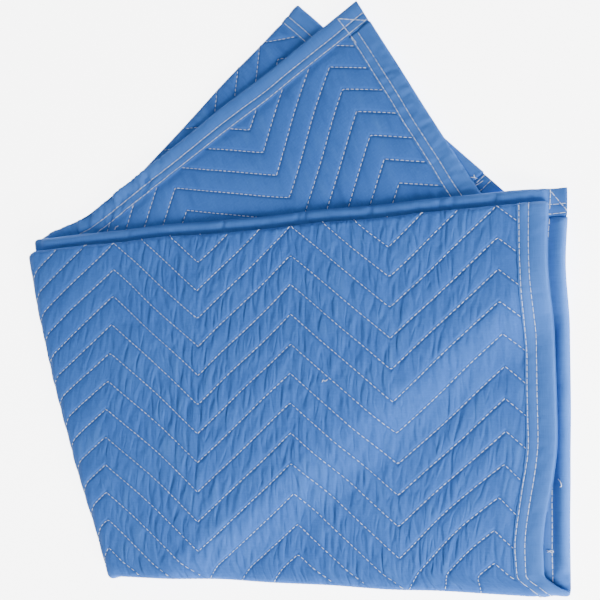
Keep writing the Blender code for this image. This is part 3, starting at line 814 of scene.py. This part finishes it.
def tape_stitches(node, reach):
    """The flat ends of each stitch in one of a tape's rows, which wanders a little."""
    first, last = tape_span(node)
    seed = TAPES[node][2]
    count = int((last - first) / TAPE_PITCH)
    start = first + (np.arange(count) + 0.2) * TAPE_PITCH
    end = start + TAPE_PITCH * TAPE_SHARE

    def point(stop):
        wander = ROW_WANDER * noise(stop / 0.05, stop * 0 + reach * 900, seed)
        if node == "end_tape_lower" and reach == OUTER_ROW:
            out = smooth((stop - BAND_ROW[0]) / 0.03) * smooth((BAND_ROW[1] - stop) / 0.03)
            wander = wander - BAND_ROW[2] * out
        return np.stack(np.broadcast_arrays(*tape_place(node, reach + wander, stop)), -1)

    return point(start), point(end)


def tape_surface(node, side, look):
    """A function that gives a place on one face of a tape, and the way off it."""
    section = np.array(TAPE_SECTION[1:])[::-1] / 1000
    seed = TAPES[node][2]

    def surface(u, v):
        reach, stop = tape_reach(node, u, v)
        base = np.interp(reach, section[:, 0], section[:, 1])
        height = tape_height(0 if side > 0 else 1, reach, stop, base, seed, u, v, look)
        up = normals(u, v) * side
        return on_floor(middle(u, v) + up * height[..., None]), up
    return surface


def cloth_surface(side, look):
    def surface(u, v):
        height = outer_height(u, v, look) if side > 0 else inner_height(u, v)
        up = normals(u, v) * side
        return on_floor(middle(u, v) + up * height[..., None]), up
    return surface


def any_surface(side, cloth_look, tape_look):
    """Cloth or tape, whichever lies on top at each flat point."""
    def surface(u, v):
        place, up = cloth_surface(side, cloth_look)(u, v)
        for node in TAPES:
            reach, stop = tape_reach(node, u, v)
            first, last = tape_span(node)
            on_tape = (reach < TAPE_WIDTH) & (stop >= first) & (stop <= last)
            taped, _ = tape_surface(node, side, tape_look)(u, v)
            place = np.where(on_tape[..., None], taped, place)
        return place, up
    return surface


# Tacks at the corners: side of the cloth, the corner by its (u, v) ends, and from where to
# where in mm from that corner
TACKS = (
    (-1, (0, 0), (27.5, -1.5), (27.5, 37.0)),
    (-1, (0, 0), (26.5, 5.0), (-1.0, 42.5)),
    (1, (1, 0), (46.0, 6.5), (3.5, 44.5)),
    (1, (1, 0), (47.0, 5.0), (41.0, 69.0)),
    (1, (1, 1), (10.0, 37.0), (27.0, 41.0)),
    (1, (1, 1), (12.0, 58.0), (18.5, 47.0)),
    (1, (1, 1), (20.5, 60.0), (13.0, 47.0)),
)

# Ends of thread left long: side of the cloth and the places they pass, flat in mm
THREAD_ENDS = (
    (1, ((405, 1027), (402, 1031), (398, 1029), (395, 1032))),
    (-1, ((17, 473), (14, 475), (11, 479), (10, 484), (13, 486))),
    (-1, ((36, 587), (32, 588), (27, 587), (25, 590))),
    (-1, ((35, 590), (31, 589), (27, 591))),
    (1, ((1286, 62), (1289, 64), (1292, 61), (1295, 63), (1297, 61))),
)


def run_along(first, last):
    """Tape stitches that follow each other from one flat point to another."""
    first, last = np.array(first), np.array(last)
    count = max(1, round(np.linalg.norm(last - first) / TAPE_PITCH))
    starts = np.arange(count)[:, None] / count
    return first + (last - first) * starts, first + (last - first) * (starts + TAPE_SHARE / count)


def from_corner(corner, point):
    u, v = point[0] / 1000, point[1] / 1000
    return (WIDTH - u if corner[0] else u), (LENGTH - v if corner[1] else v)


def soft_path(points, count):
    """Places along a smooth curve through some points."""
    points = np.array(points) / 1000
    points = np.concatenate([2 * points[:1] - points[1:2], points, 2 * points[-1:] - points[-2:-1]])
    at = np.linspace(0, len(points) - 3 - 1e-6, count)
    i = at.astype(int)
    t = (at - i)[:, None]
    a, b, c, d = points[i], points[i + 1], points[i + 2], points[i + 3]
    return 0.5 * (2 * b + (c - a) * t + (2 * a - 5 * b + 4 * c - d) * t ** 2
                  + (3 * b - a - 3 * c + d) * t ** 3)


def srgb(code):
    """A hex colour as linear numbers."""
    parts = [int(code[i:i + 2], 16) / 255 for i in (1, 3, 5)]
    return tuple(c / 12.92 if c <= 0.04045 else ((c + 0.055) / 1.055) ** 2.4 for c in parts)


def add_node(tree, kind, inputs, **settings):
    """One node. An input is a plain value, or the node and output that it is linked to."""
    node = tree.nodes.new("ShaderNode" + kind)
    for name, value in settings.items():
        setattr(node, name, value)
    for name, value in inputs.items():
        if isinstance(value, tuple) and isinstance(value[0], bpy.types.Node):
            tree.links.new(value[0].outputs[value[1]], node.inputs[name])
        else:
            node.inputs[name].default_value = value
    return node


def new_material(name, uniform):
    """A material whose shader has these values, the same all over the surface."""
    material = bpy.data.materials.new(name)
    material.use_nodes = True
    tree = material.node_tree
    shader = tree.nodes["Principled BSDF"]
    for socket, value in uniform.items():
        shader.inputs[socket].default_value = value
    return material, tree, shader


def finish(tree, shader, links):
    for socket, (node, output) in links.items():
        tree.links.new(node.outputs[output], shader.inputs[socket])


def sum_of(tree, terms):
    """Heights in metres, each a node, its output and a factor, added up."""
    total = None
    for node, output, factor in terms:
        inputs = {0: (node, output), 1: factor, 2: (total, 0) if total else 0.0}
        total = add_node(tree, "Math", inputs, operation="MULTIPLY_ADD")
    return total


def plain_weave(tree, flat, spacing):
    """Height from 0 to 1 of threads that pass over and under each other."""
    parts = add_node(tree, "SeparateXYZ", {0: (flat, "UV")})
    threads = []
    for axis in ("X", "Y"):
        turn = add_node(tree, "Math", {0: (parts, axis), 1: math.pi / spacing},
                        operation="MULTIPLY")
        wave = add_node(tree, "Math", {0: (turn, 0)}, operation="SINE")
        threads.append(add_node(tree, "Math", {0: (wave, 0)}, operation="ABSOLUTE"))
    over = add_node(tree, "TexChecker", {"Vector": (flat, "UV"), "Scale": 1 / spacing})
    return add_node(tree, "Mix", {0: (over, "Fac"), 2: (threads[0], 0), 3: (threads[1], 0)})


def slubs(tree, flat, thick, long):
    """Uneven yarn: streaks along both ways of the weave, as one number about 0.5."""
    streaks = []
    for scale in ((1 / long, 1 / thick, 1), (1 / thick, 1 / long, 1)):
        stretched = add_node(tree, "Mapping", {"Vector": (flat, "UV"), "Scale": scale})
        streaks.append(add_node(tree, "TexNoise", {"Vector": (stretched, 0), "Scale": 1.0,
                                                   "Detail": 2.0, "Roughness": 0.55}))
    return add_node(tree, "Mix", {0: 0.5, 2: (streaks[0], "Fac"), 3: (streaks[1], "Fac")})


def tinted(tree, below, colour, amount, low, high, share):
    """Colour laid over what is below where amount goes from low to high, up to share."""
    ramp = add_node(tree, "MapRange", {"Value": amount, "From Min": low, "From Max": high,
                                       "To Min": 0.0, "To Max": share})
    return add_node(tree, "Mix", {0: (ramp, 0), 6: below, 7: (*colour, 1.0)}, data_type="RGBA")


# Thread spacings are drawn about three times as coarse as real ones of 0.4 mm, to show
WEAVE = 0.0012
TAPE_WEAVE = 0.0010
WEAVE_DEEP = 0.00012
CRUMPLE = 0.011                  # across one of the cloth's fine crumples
CRUMPLE_DEEP = 0.00045


CREASE_WIDE = 0.026              # from one fine crease to the next, about
CREASE_LONG = 0.105
CREASE_DEEP = 0.0022
CREASE_EDGE = 0.13               # share of a crease's noise that its trough takes up
CREASE_LEAN = 0.07
SEAM_WIDE = 0.0050               # half of the groove that a stitched row pulls into the cloth
SEAM_DEEP = 0.0015


def creases(tree, flat, seed, wide, long):
    """Depth from 0 to 1 of upright creases, narrow troughs between broad swells."""
    parts = add_node(tree, "SeparateXYZ", {0: (flat, "UV")})
    lean = add_node(tree, "Math", {0: (parts, "Y"), 1: CREASE_LEAN, 2: (parts, "X")},
                    operation="MULTIPLY_ADD")
    spot = add_node(tree, "CombineXYZ", {0: (lean, 0), 1: (parts, "Y"), 2: float(seed)})
    stretched = add_node(tree, "Mapping", {"Vector": (spot, 0), "Scale": (1 / wide, 1 / long, 1)})
    swell = add_node(tree, "TexNoise", {"Vector": (stretched, 0), "Scale": 1.0, "Detail": 1.0,
                                        "Roughness": 0.4})
    off = add_node(tree, "Math", {0: (swell, "Fac"), 1: 0.5}, operation="SUBTRACT")
    near = add_node(tree, "Math", {0: (off, 0)}, operation="ABSOLUTE")
    return add_node(tree, "MapRange", {"Value": (near, 0), "From Max": CREASE_EDGE,
                                       "To Min": 1.0, "To Max": 0.0},
                    interpolation_type="SMOOTHSTEP")


def stitched_groove(tree, flat):
    """From 1 on a stitched zigzag row down to 0 a groove's half width away from it."""
    parts = add_node(tree, "SeparateXYZ", {0: (flat, "UV")})
    along = add_node(tree, "Math", {0: (parts, "X"), 1: FIRST_CORNER}, operation="SUBTRACT")
    wave = add_node(tree, "Math", {0: (along, 0), 1: HALF_WAVE}, operation="PINGPONG")
    down = add_node(tree, "Math", {0: (wave, 0), 1: CHEVRON / HALF_WAVE, 2: (parts, "Y")},
                    operation="MULTIPLY_ADD")
    past = add_node(tree, "Math", {0: (down, 0), 1: ROW_PHASE * ROW}, operation="SUBTRACT")
    away = add_node(tree, "Math", {0: (past, 0), 1: ROW / 2}, operation="PINGPONG")
    return add_node(tree, "MapRange", {"Value": (away, 0), "From Max": SEAM_WIDE / STITCH_LEAN,
                                       "To Min": 1.0, "To Max": 0.0},
                    interpolation_type="SMOOTHERSTEP")


DARK_DYE_AND_SHADE = 0.62                  # of the dye's colour, for darker slubs of yarn and for painted shade in hollows and along stitched rows


# The darker tone of the yarn's slubs, also used as painted shade in pucker hollows and along
# stitched rows
def darker_dye_and_shade(look):
    return tuple(c * DARK_DYE_AND_SHADE for c in look.colour)


def dyed_yarn(tree, flat, look, blotches, thick, long, share):
    """The uneven yarn, and its dye with slight blotches and darker slubs."""
    blotch = add_node(tree, "TexNoise", {"Vector": (flat, "UV"), "Scale": blotches,
                                         "Detail": 4.0})
    yarn = slubs(tree, flat, thick, long)
    base = add_node(tree, "RGB", {})
    base.outputs[0].default_value = (*look.colour, 1.0)
    colour = tinted(tree, (base, 0), tuple(look.faded), (blotch, "Fac"), 0.35, 0.70, 0.14)
    return yarn, tinted(tree, (colour, 2), darker_dye_and_shade(look), (yarn, 0), 0.52, 0.36, share)


def woven_relief(tree, flat, spacing, crumple_deep, others):
    """Bump of the weave, of fine crumples and of other heights that are given."""
    crumple = add_node(tree, "TexNoise", {"Vector": (flat, "UV"), "Scale": 1 / CRUMPLE,
                                          "Detail": 3.0, "Roughness": 0.5})
    height = sum_of(tree, [(plain_weave(tree, flat, spacing), 0, WEAVE_DEEP),
                           (crumple, "Fac", crumple_deep), *others])
    return add_node(tree, "Bump", {"Height": (height, 0), "Strength": 1.0, "Distance": 1.0})


def quilted_polycotton(look):
    """Brushed polyester and cotton cloth, plain woven and piece dyed, then quilted.

    Matte, with a faint bloom of fibres at a low angle. The dye is a little uneven. The
    crests are painted lighter, partly as rubbed wear and partly as painted highlight, the
    hollows of the puckers get painted shade, and so do the stitched rows.
    """
    material, tree, shader = new_material("quilted_polycotton", {
        "Sheen Weight": 0.04, "Sheen Roughness": 0.45, "Sheen Tint": (0.5, 0.7, 1.0, 1.0),
        "IOR": 1.48, "Specular IOR Level": 0.15})
    flat = add_node(tree, "UVMap", {}, uv_map="UVMap")
    crest = add_node(tree, "Attribute", {}, attribute_name="crest")
    drawn = add_node(tree, "Attribute", {}, attribute_name="drawn")
    seam = stitched_groove(tree, flat)
    fine = add_node(tree, "TexNoise", {"Vector": (flat, "UV"), "Scale": 1 / 0.0035,
                                       "Detail": 2.0})
    yarn, colour = dyed_yarn(tree, flat, look, 9.0, 0.0022, 0.028, 0.30)
    faded, painted_shade = tuple(look.faded), darker_dye_and_shade(look)
    colour = tinted(tree, (colour, 2), faded, (fine, "Fac"), 0.52, 0.72, 0.22)
    # crests of the puckers painted lighter: partly rubbed wear, partly painted highlight
    colour = tinted(tree, (colour, 2), faded, (crest, "Fac"), 0.15, 0.9, 0.28)
    # hollows of the puckers painted darker: painted shade
    colour = tinted(tree, (colour, 2), painted_shade, (crest, "Fac"), -0.10, -0.9, 0.45)
    # painted shade in the grooves along the stitched rows
    colour = tinted(tree, (colour, 2), painted_shade, (seam, 0), 0.35, 1.0, 0.5)
    others = [(yarn, 0, 0.0003), (seam, 0, -SEAM_DEEP)]
    for seed, scale, stretch, deep_share in ((3, 1.0, 1.0, 1.0), (8, 0.6, 0.5, 0.4)):
        trough = creases(tree, flat, seed, CREASE_WIDE * scale, CREASE_LONG * stretch)
        held = add_node(tree, "Math", {0: (trough, 0), 1: (drawn, "Fac")}, operation="MULTIPLY")
        others.append((held, 0, -CREASE_DEEP * deep_share))
    bump = woven_relief(tree, flat, WEAVE, CRUMPLE_DEEP, others)
    rough = add_node(tree, "MapRange", {"Value": (yarn, 0), "To Min": 0.78, "To Max": 0.96})
    finish(tree, shader, {"Base Color": (colour, 2), "Normal": (bump, 0), "Roughness": (rough, 0)})
    return material


def woven_binding(look):
    """Woven polycotton binding tape, pressed flat before it was sewn on.

    Closer and smoother than the cloth, so a little lighter, with the same dye.
    """
    material, tree, shader = new_material("woven_binding", {
        "Sheen Weight": 0.04, "Sheen Roughness": 0.4, "Sheen Tint": (0.5, 0.7, 1.0, 1.0),
        "IOR": 1.48, "Specular IOR Level": 0.18})
    flat = add_node(tree, "UVMap", {}, uv_map="UVMap")
    seam = add_node(tree, "Attribute", {}, attribute_name="seam")
    yarn, colour = dyed_yarn(tree, flat, look, 13.0, 0.0018, 0.035, 0.28)
    # painted shade in the grooves along the tape's stitched rows
    colour = tinted(tree, (colour, 2), darker_dye_and_shade(look), (seam, "Fac"), 0.25, 1.0, 0.35)
    bump = woven_relief(tree, flat, TAPE_WEAVE, CRUMPLE_DEEP * 0.7, [(yarn, 0, 0.00025)])
    rough = add_node(tree, "MapRange", {"Value": (yarn, 0), "To Min": 0.72, "To Max": 0.92})
    finish(tree, shader, {"Base Color": (colour, 2), "Normal": (bump, 0), "Roughness": (rough, 0)})
    return material


def polyester_thread(look):
    """Spun polyester sewing thread, undyed: off white, with a soft shine along its twist."""
    material, tree, shader = new_material("polyester_thread", {
        "Roughness": 0.5, "IOR": 1.54, "Specular IOR Level": 0.4,
        "Sheen Weight": 0.2, "Sheen Roughness": 0.4})
    along = add_node(tree, "UVMap", {}, uv_map="UVMap")
    parts = add_node(tree, "SeparateXYZ", {0: (along, "UV")})
    turn = add_node(tree, "Math", {0: (parts, "Y"), 1: 2 * math.pi / THREAD_ROUND},
                    operation="MULTIPLY")
    twist = add_node(tree, "Math", {0: (parts, "X"), 1: 2 * math.pi / THREAD_TWIST, 2: (turn, 0)},
                     operation="MULTIPLY_ADD")
    strand = add_node(tree, "Math", {0: (twist, 0)}, operation="SINE")
    base = add_node(tree, "RGB", {})
    base.outputs[0].default_value = (*look.colour, 1.0)
    # darker between the twisted strands: painted shade in the grooves of the twist
    groove = tuple(c * 0.72 for c in look.colour)
    colour = tinted(tree, (base, 0), groove, (strand, 0), 0.2, -1.0, 0.7)
    height = add_node(tree, "Math", {0: (strand, 0), 1: 0.00006}, operation="MULTIPLY")
    bump = add_node(tree, "Bump", {"Height": (height, 0), "Strength": 1.0, "Distance": 1.0})
    finish(tree, shader, {"Base Color": (colour, 2), "Normal": (bump, 0)})
    return material


def matte_backdrop(look):
    """Matte vinyl backdrop, lit from behind as well, so that it looks nearly white."""
    material, tree, shader = new_material("matte_backdrop", {
        "Emission Color": (1.0, 1.0, 1.0, 1.0), "Emission Strength": look.glow,
        "Specular IOR Level": 0.2})
    spot = add_node(tree, "TexCoord", {})
    grain = add_node(tree, "TexNoise", {"Vector": (spot, "Object"), "Scale": 400.0,
                                        "Detail": 2.0})
    base = add_node(tree, "RGB", {})
    base.outputs[0].default_value = (*look.floor, 1.0)
    shade = tuple(c * 0.96 for c in look.floor)
    colour = tinted(tree, (base, 0), shade, (grain, "Fac"), 0.4, 0.7, 1.0)
    rough = add_node(tree, "MapRange", {"Value": (grain, "Fac"), "To Min": 0.75, "To Max": 0.95})
    finish(tree, shader, {"Base Color": (colour, 2), "Roughness": (rough, 0)})
    return material


def thread_material(look):
    """The one thread that all the sewing shares."""
    return bpy.data.materials.get("polyester_thread") or polyester_thread(look)


class ClothLook(PropertyGroup):
    """The quilted cloth"""
    colour: FloatVectorProperty(
        name="Cloth", description="Dye of the cloth", subtype="COLOR", size=3, min=0, max=1,
        default=srgb("#3463B2"))
    faded: FloatVectorProperty(
        name="Rubbed Cloth", description="The dye where it is thin or rubbed",
        subtype="COLOR", size=3, min=0, max=1, default=srgb("#4A80CC"))
    puff: FloatProperty(
        name="Puff", description="Half of the thickness midway between two stitched rows",
        default=0.0038, min=0.0015, max=0.006, unit="LENGTH")
    pucker: FloatProperty(
        name="Puckers", description="Height of the puckers between the rows",
        default=0.0021, min=0.0, max=0.004, unit="LENGTH")


class TapeLook(PropertyGroup):
    """The tape round the edges"""
    colour: FloatVectorProperty(
        name="Tape", description="Dye of the tape", subtype="COLOR", size=3, min=0, max=1,
        default=srgb("#3B6CBA"))
    faded: FloatVectorProperty(
        name="Rubbed Tape", description="The dye where it is thin or rubbed",
        subtype="COLOR", size=3, min=0, max=1, default=srgb("#5388D2"))
    roll: FloatProperty(
        name="Roll", description="How far the loose fold of tape stands up where it is free",
        default=0.0105, min=0.0, max=0.012, unit="LENGTH")
    tuck: FloatProperty(
        name="Tucks", description="Height of the puckers across the tape",
        default=0.0014, min=0.0, max=0.002, unit="LENGTH")


class SewingLook(PropertyGroup):
    """The thread"""
    colour: FloatVectorProperty(
        name="Thread", description="Colour of the thread", subtype="COLOR", size=3,
        min=0, max=1, default=srgb("#E4EFFF"))
    thickness: FloatProperty(
        name="Thickness", description="Across the thread",
        default=0.0010, min=0.0004, max=0.002, unit="LENGTH")


class StudioLook(PropertyGroup):
    """Floor, lights and camera"""
    floor: FloatVectorProperty(
        name="Floor", description="Colour of the floor", subtype="COLOR", size=3,
        min=0, max=1, default=srgb("#F4F4F3"))
    glow: FloatProperty(
        name="Floor Glow", description="Light that comes through the floor", default=6.0,
        min=0.0, max=10.0)
    key: FloatProperty(
        name="Key Light", description="Power of the light at the lower right", default=262.0,
        min=0.0, max=1000.0, unit="POWER")
    fill: FloatProperty(
        name="Fill", description="Strength of the light from all round", default=0.36,
        min=0.0, max=5.0)
    lens: FloatProperty(
        name="Lens", description="Focal length of the camera", default=VIEW_LENS,
        min=20.0, max=200.0, unit="CAMERA")


class BlanketSettings(PropertyGroup):
    """All that the operators read"""
    cloth: PointerProperty(type=ClothLook)
    tape: PointerProperty(type=TapeLook)
    sewing: PointerProperty(type=SewingLook)
    studio: PointerProperty(type=StudioLook)


class BLANKET_OT_cloth(Operator):
    """Make the quilted cloth, laid in its folds"""
    bl_idname = "blanket.cloth"
    bl_label = "Quilted Cloth"

    def execute(self, context):
        look = context.scene.moving_blanket.cloth
        piece = build_cloth(quilted_polycotton(look), look)
        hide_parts("quilted_panel")
        return {"FINISHED"}


class BLANKET_OT_tapes(Operator):
    """Make the tapes that are folded over the four edges"""
    bl_idname = "blanket.tapes"
    bl_label = "Edge Tapes"

    def execute(self, context):
        look = context.scene.moving_blanket.tape
        material = woven_binding(look)
        for node in TAPES:
            piece = build_tape(node, material, look)
            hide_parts(node)
        return {"FINISHED"}


class BLANKET_OT_quilting(Operator):
    """Sew the zigzag rows of quilting"""
    bl_idname = "blanket.quilting"
    bl_label = "Quilting Stitches"

    def execute(self, context):
        settings = context.scene.moving_blanket
        first, last = quilting_stitches()
        sew("quilting_stitches", cloth_surface(1, settings.cloth), first, last,
            settings.sewing.thickness, thread_material(settings.sewing), 72)
        return {"FINISHED"}


class BLANKET_OT_tape_sewing(Operator):
    """Sew the two rows on each face of each tape, and the tacks at the corners"""
    bl_idname = "blanket.tape_sewing"
    bl_label = "Tape Stitches"

    def execute(self, context):
        settings = context.scene.moving_blanket
        thread = thread_material(settings.sewing)
        for node in TAPES:
            for side, face in ((1, "outer"), (-1, "inner")):
                rows = [tape_stitches(node, reach) for reach in (OUTER_ROW, INNER_ROW)]
                first, last = (np.concatenate(ends) for ends in zip(*rows))
                sew(node + "_stitches_" + face, tape_surface(node, side, settings.tape),
                    first, last, settings.sewing.thickness, thread, 73 + side)
        for side, face in ((1, "outer"), (-1, "inner")):
            runs = [run_along(from_corner(corner, a), from_corner(corner, b))
                    for which, corner, a, b in TACKS if which == side]
            first, last = (np.concatenate(ends) for ends in zip(*runs))
            sew("corner_tacks_" + face, any_surface(side, settings.cloth, settings.tape),
                first, last, settings.sewing.thickness * TACK_THICK, thread, 76)
        return {"FINISHED"}


class BLANKET_OT_thread_ends(Operator):
    """Lay the few ends of thread that were left long"""
    bl_idname = "blanket.thread_ends"
    bl_label = "Thread Ends"

    def execute(self, context):
        settings = context.scene.moving_blanket
        thread = thread_material(settings.sewing)
        for number, (side, points) in enumerate(THREAD_ENDS):
            flat = soft_path(points, END_POINTS)[None]
            place, up = any_surface(side, settings.cloth, settings.tape)(flat[..., 0], flat[..., 1])
            share = np.linspace(0, 1, END_POINTS)
            lift = settings.sewing.thickness / 2 + END_LIFT * np.sin(math.pi * share)
            wide = np.full(flat.shape[:2], settings.sewing.thickness)
            thread_mesh(f"thread_end_{number + 1}", place + up * lift[None, :, None], up, wide,
                        thread)
        return {"FINISHED"}


class BLANKET_OT_studio(Operator):
    """Set the floor, the lights and the camera"""
    bl_idname = "blanket.studio"
    bl_label = "Studio"

    def execute(self, context):
        look = context.scene.moving_blanket.studio
        bpy.ops.object.select_all(action="DESELECT")
        bpy.ops.mesh.primitive_plane_add(size=FLOOR_SIZE, location=(0, 0, FLOOR_DROP))
        floor = context.object
        floor.name = "studio_floor"
        bpy.ops.object.mode_set(mode="EDIT")
        bpy.ops.mesh.bevel(offset=FLOOR_SIZE / 8, segments=12, affect="VERTICES")
        bpy.ops.mesh.extrude_region_move(TRANSFORM_OT_translate={"value": (0, 0, -0.02)})
        bpy.ops.object.mode_set(mode="OBJECT")
        bpy.ops.object.transform_apply(location=True, rotation=True, scale=True)
        floor.data.materials.append(matte_backdrop(look))
        for name, (place, size, share) in LIGHTS.items():
            bpy.ops.object.light_add(type="AREA", location=place)
            light = context.object
            light.name = name
            light.data.size = size
            light.data.energy = look.key * share
            light.rotation_euler = (-Vector(place)).to_track_quat("-Z", "Y").to_euler()
        world = bpy.data.worlds.new("studio")
        context.scene.world = world
        world.use_nodes = True
        around = world.node_tree.nodes["Background"]
        around.inputs["Color"].default_value = (0.96, 0.98, 1.0, 1.0)
        around.inputs["Strength"].default_value = look.fill
        bpy.ops.object.camera_add(location=VIEW_FROM)
        camera = context.object
        camera.name = "photo_camera"
        back = -Vector(VIEW_ALONG).normalized()
        right = Vector(VIEW_RIGHT).normalized()
        camera.rotation_euler = Matrix((right, back.cross(right), back)).transposed().to_euler()
        camera.data.lens = look.lens
        camera.data.sensor_width = SENSOR
        context.scene.camera = camera
        return {"FINISHED"}


class BLANKET_PT_tools(Panel):
    """Every step of the blanket, and what can be changed before it is made"""
    bl_idname = "BLANKET_PT_tools"
    bl_label = "Moving Blanket"
    bl_space_type = "VIEW_3D"
    bl_region_type = "UI"
    bl_category = "Blanket"

    def draw(self, context):
        settings = context.scene.moving_blanket
        for title, look, steps in (
                ("Cloth", settings.cloth, ("blanket.cloth",)),
                ("Tape", settings.tape, ("blanket.tapes",)),
                ("Sewing", settings.sewing,
                 ("blanket.quilting", "blanket.tape_sewing", "blanket.thread_ends")),
                ("Studio", settings.studio, ("blanket.studio",))):
            box = self.layout.box()
            box.label(text=title)
            for name in look.__annotations__:
                box.prop(look, name)
            for step in steps:
                box.operator(step)


CLASSES = (
    ClothLook, TapeLook, SewingLook, StudioLook, BlanketSettings,
    BLANKET_OT_cloth, BLANKET_OT_tapes, BLANKET_OT_quilting, BLANKET_OT_tape_sewing,
    BLANKET_OT_thread_ends, BLANKET_OT_studio, BLANKET_PT_tools,
)


def register():
    for cls in CLASSES:
        bpy.utils.register_class(cls)
    bpy.types.Scene.moving_blanket = PointerProperty(type=BlanketSettings)


def unregister():
    del bpy.types.Scene.moving_blanket
    for cls in reversed(CLASSES):
        bpy.utils.unregister_class(cls)


def main():
    register()
    bpy.ops.object.select_all(action="DESELECT")
    bpy.ops.blanket.cloth()
    bpy.ops.blanket.tapes()
    bpy.ops.blanket.quilting()
    bpy.ops.blanket.tape_sewing()
    bpy.ops.blanket.thread_ends()
    bpy.ops.blanket.studio()


if __name__ == "__main__":
    main()
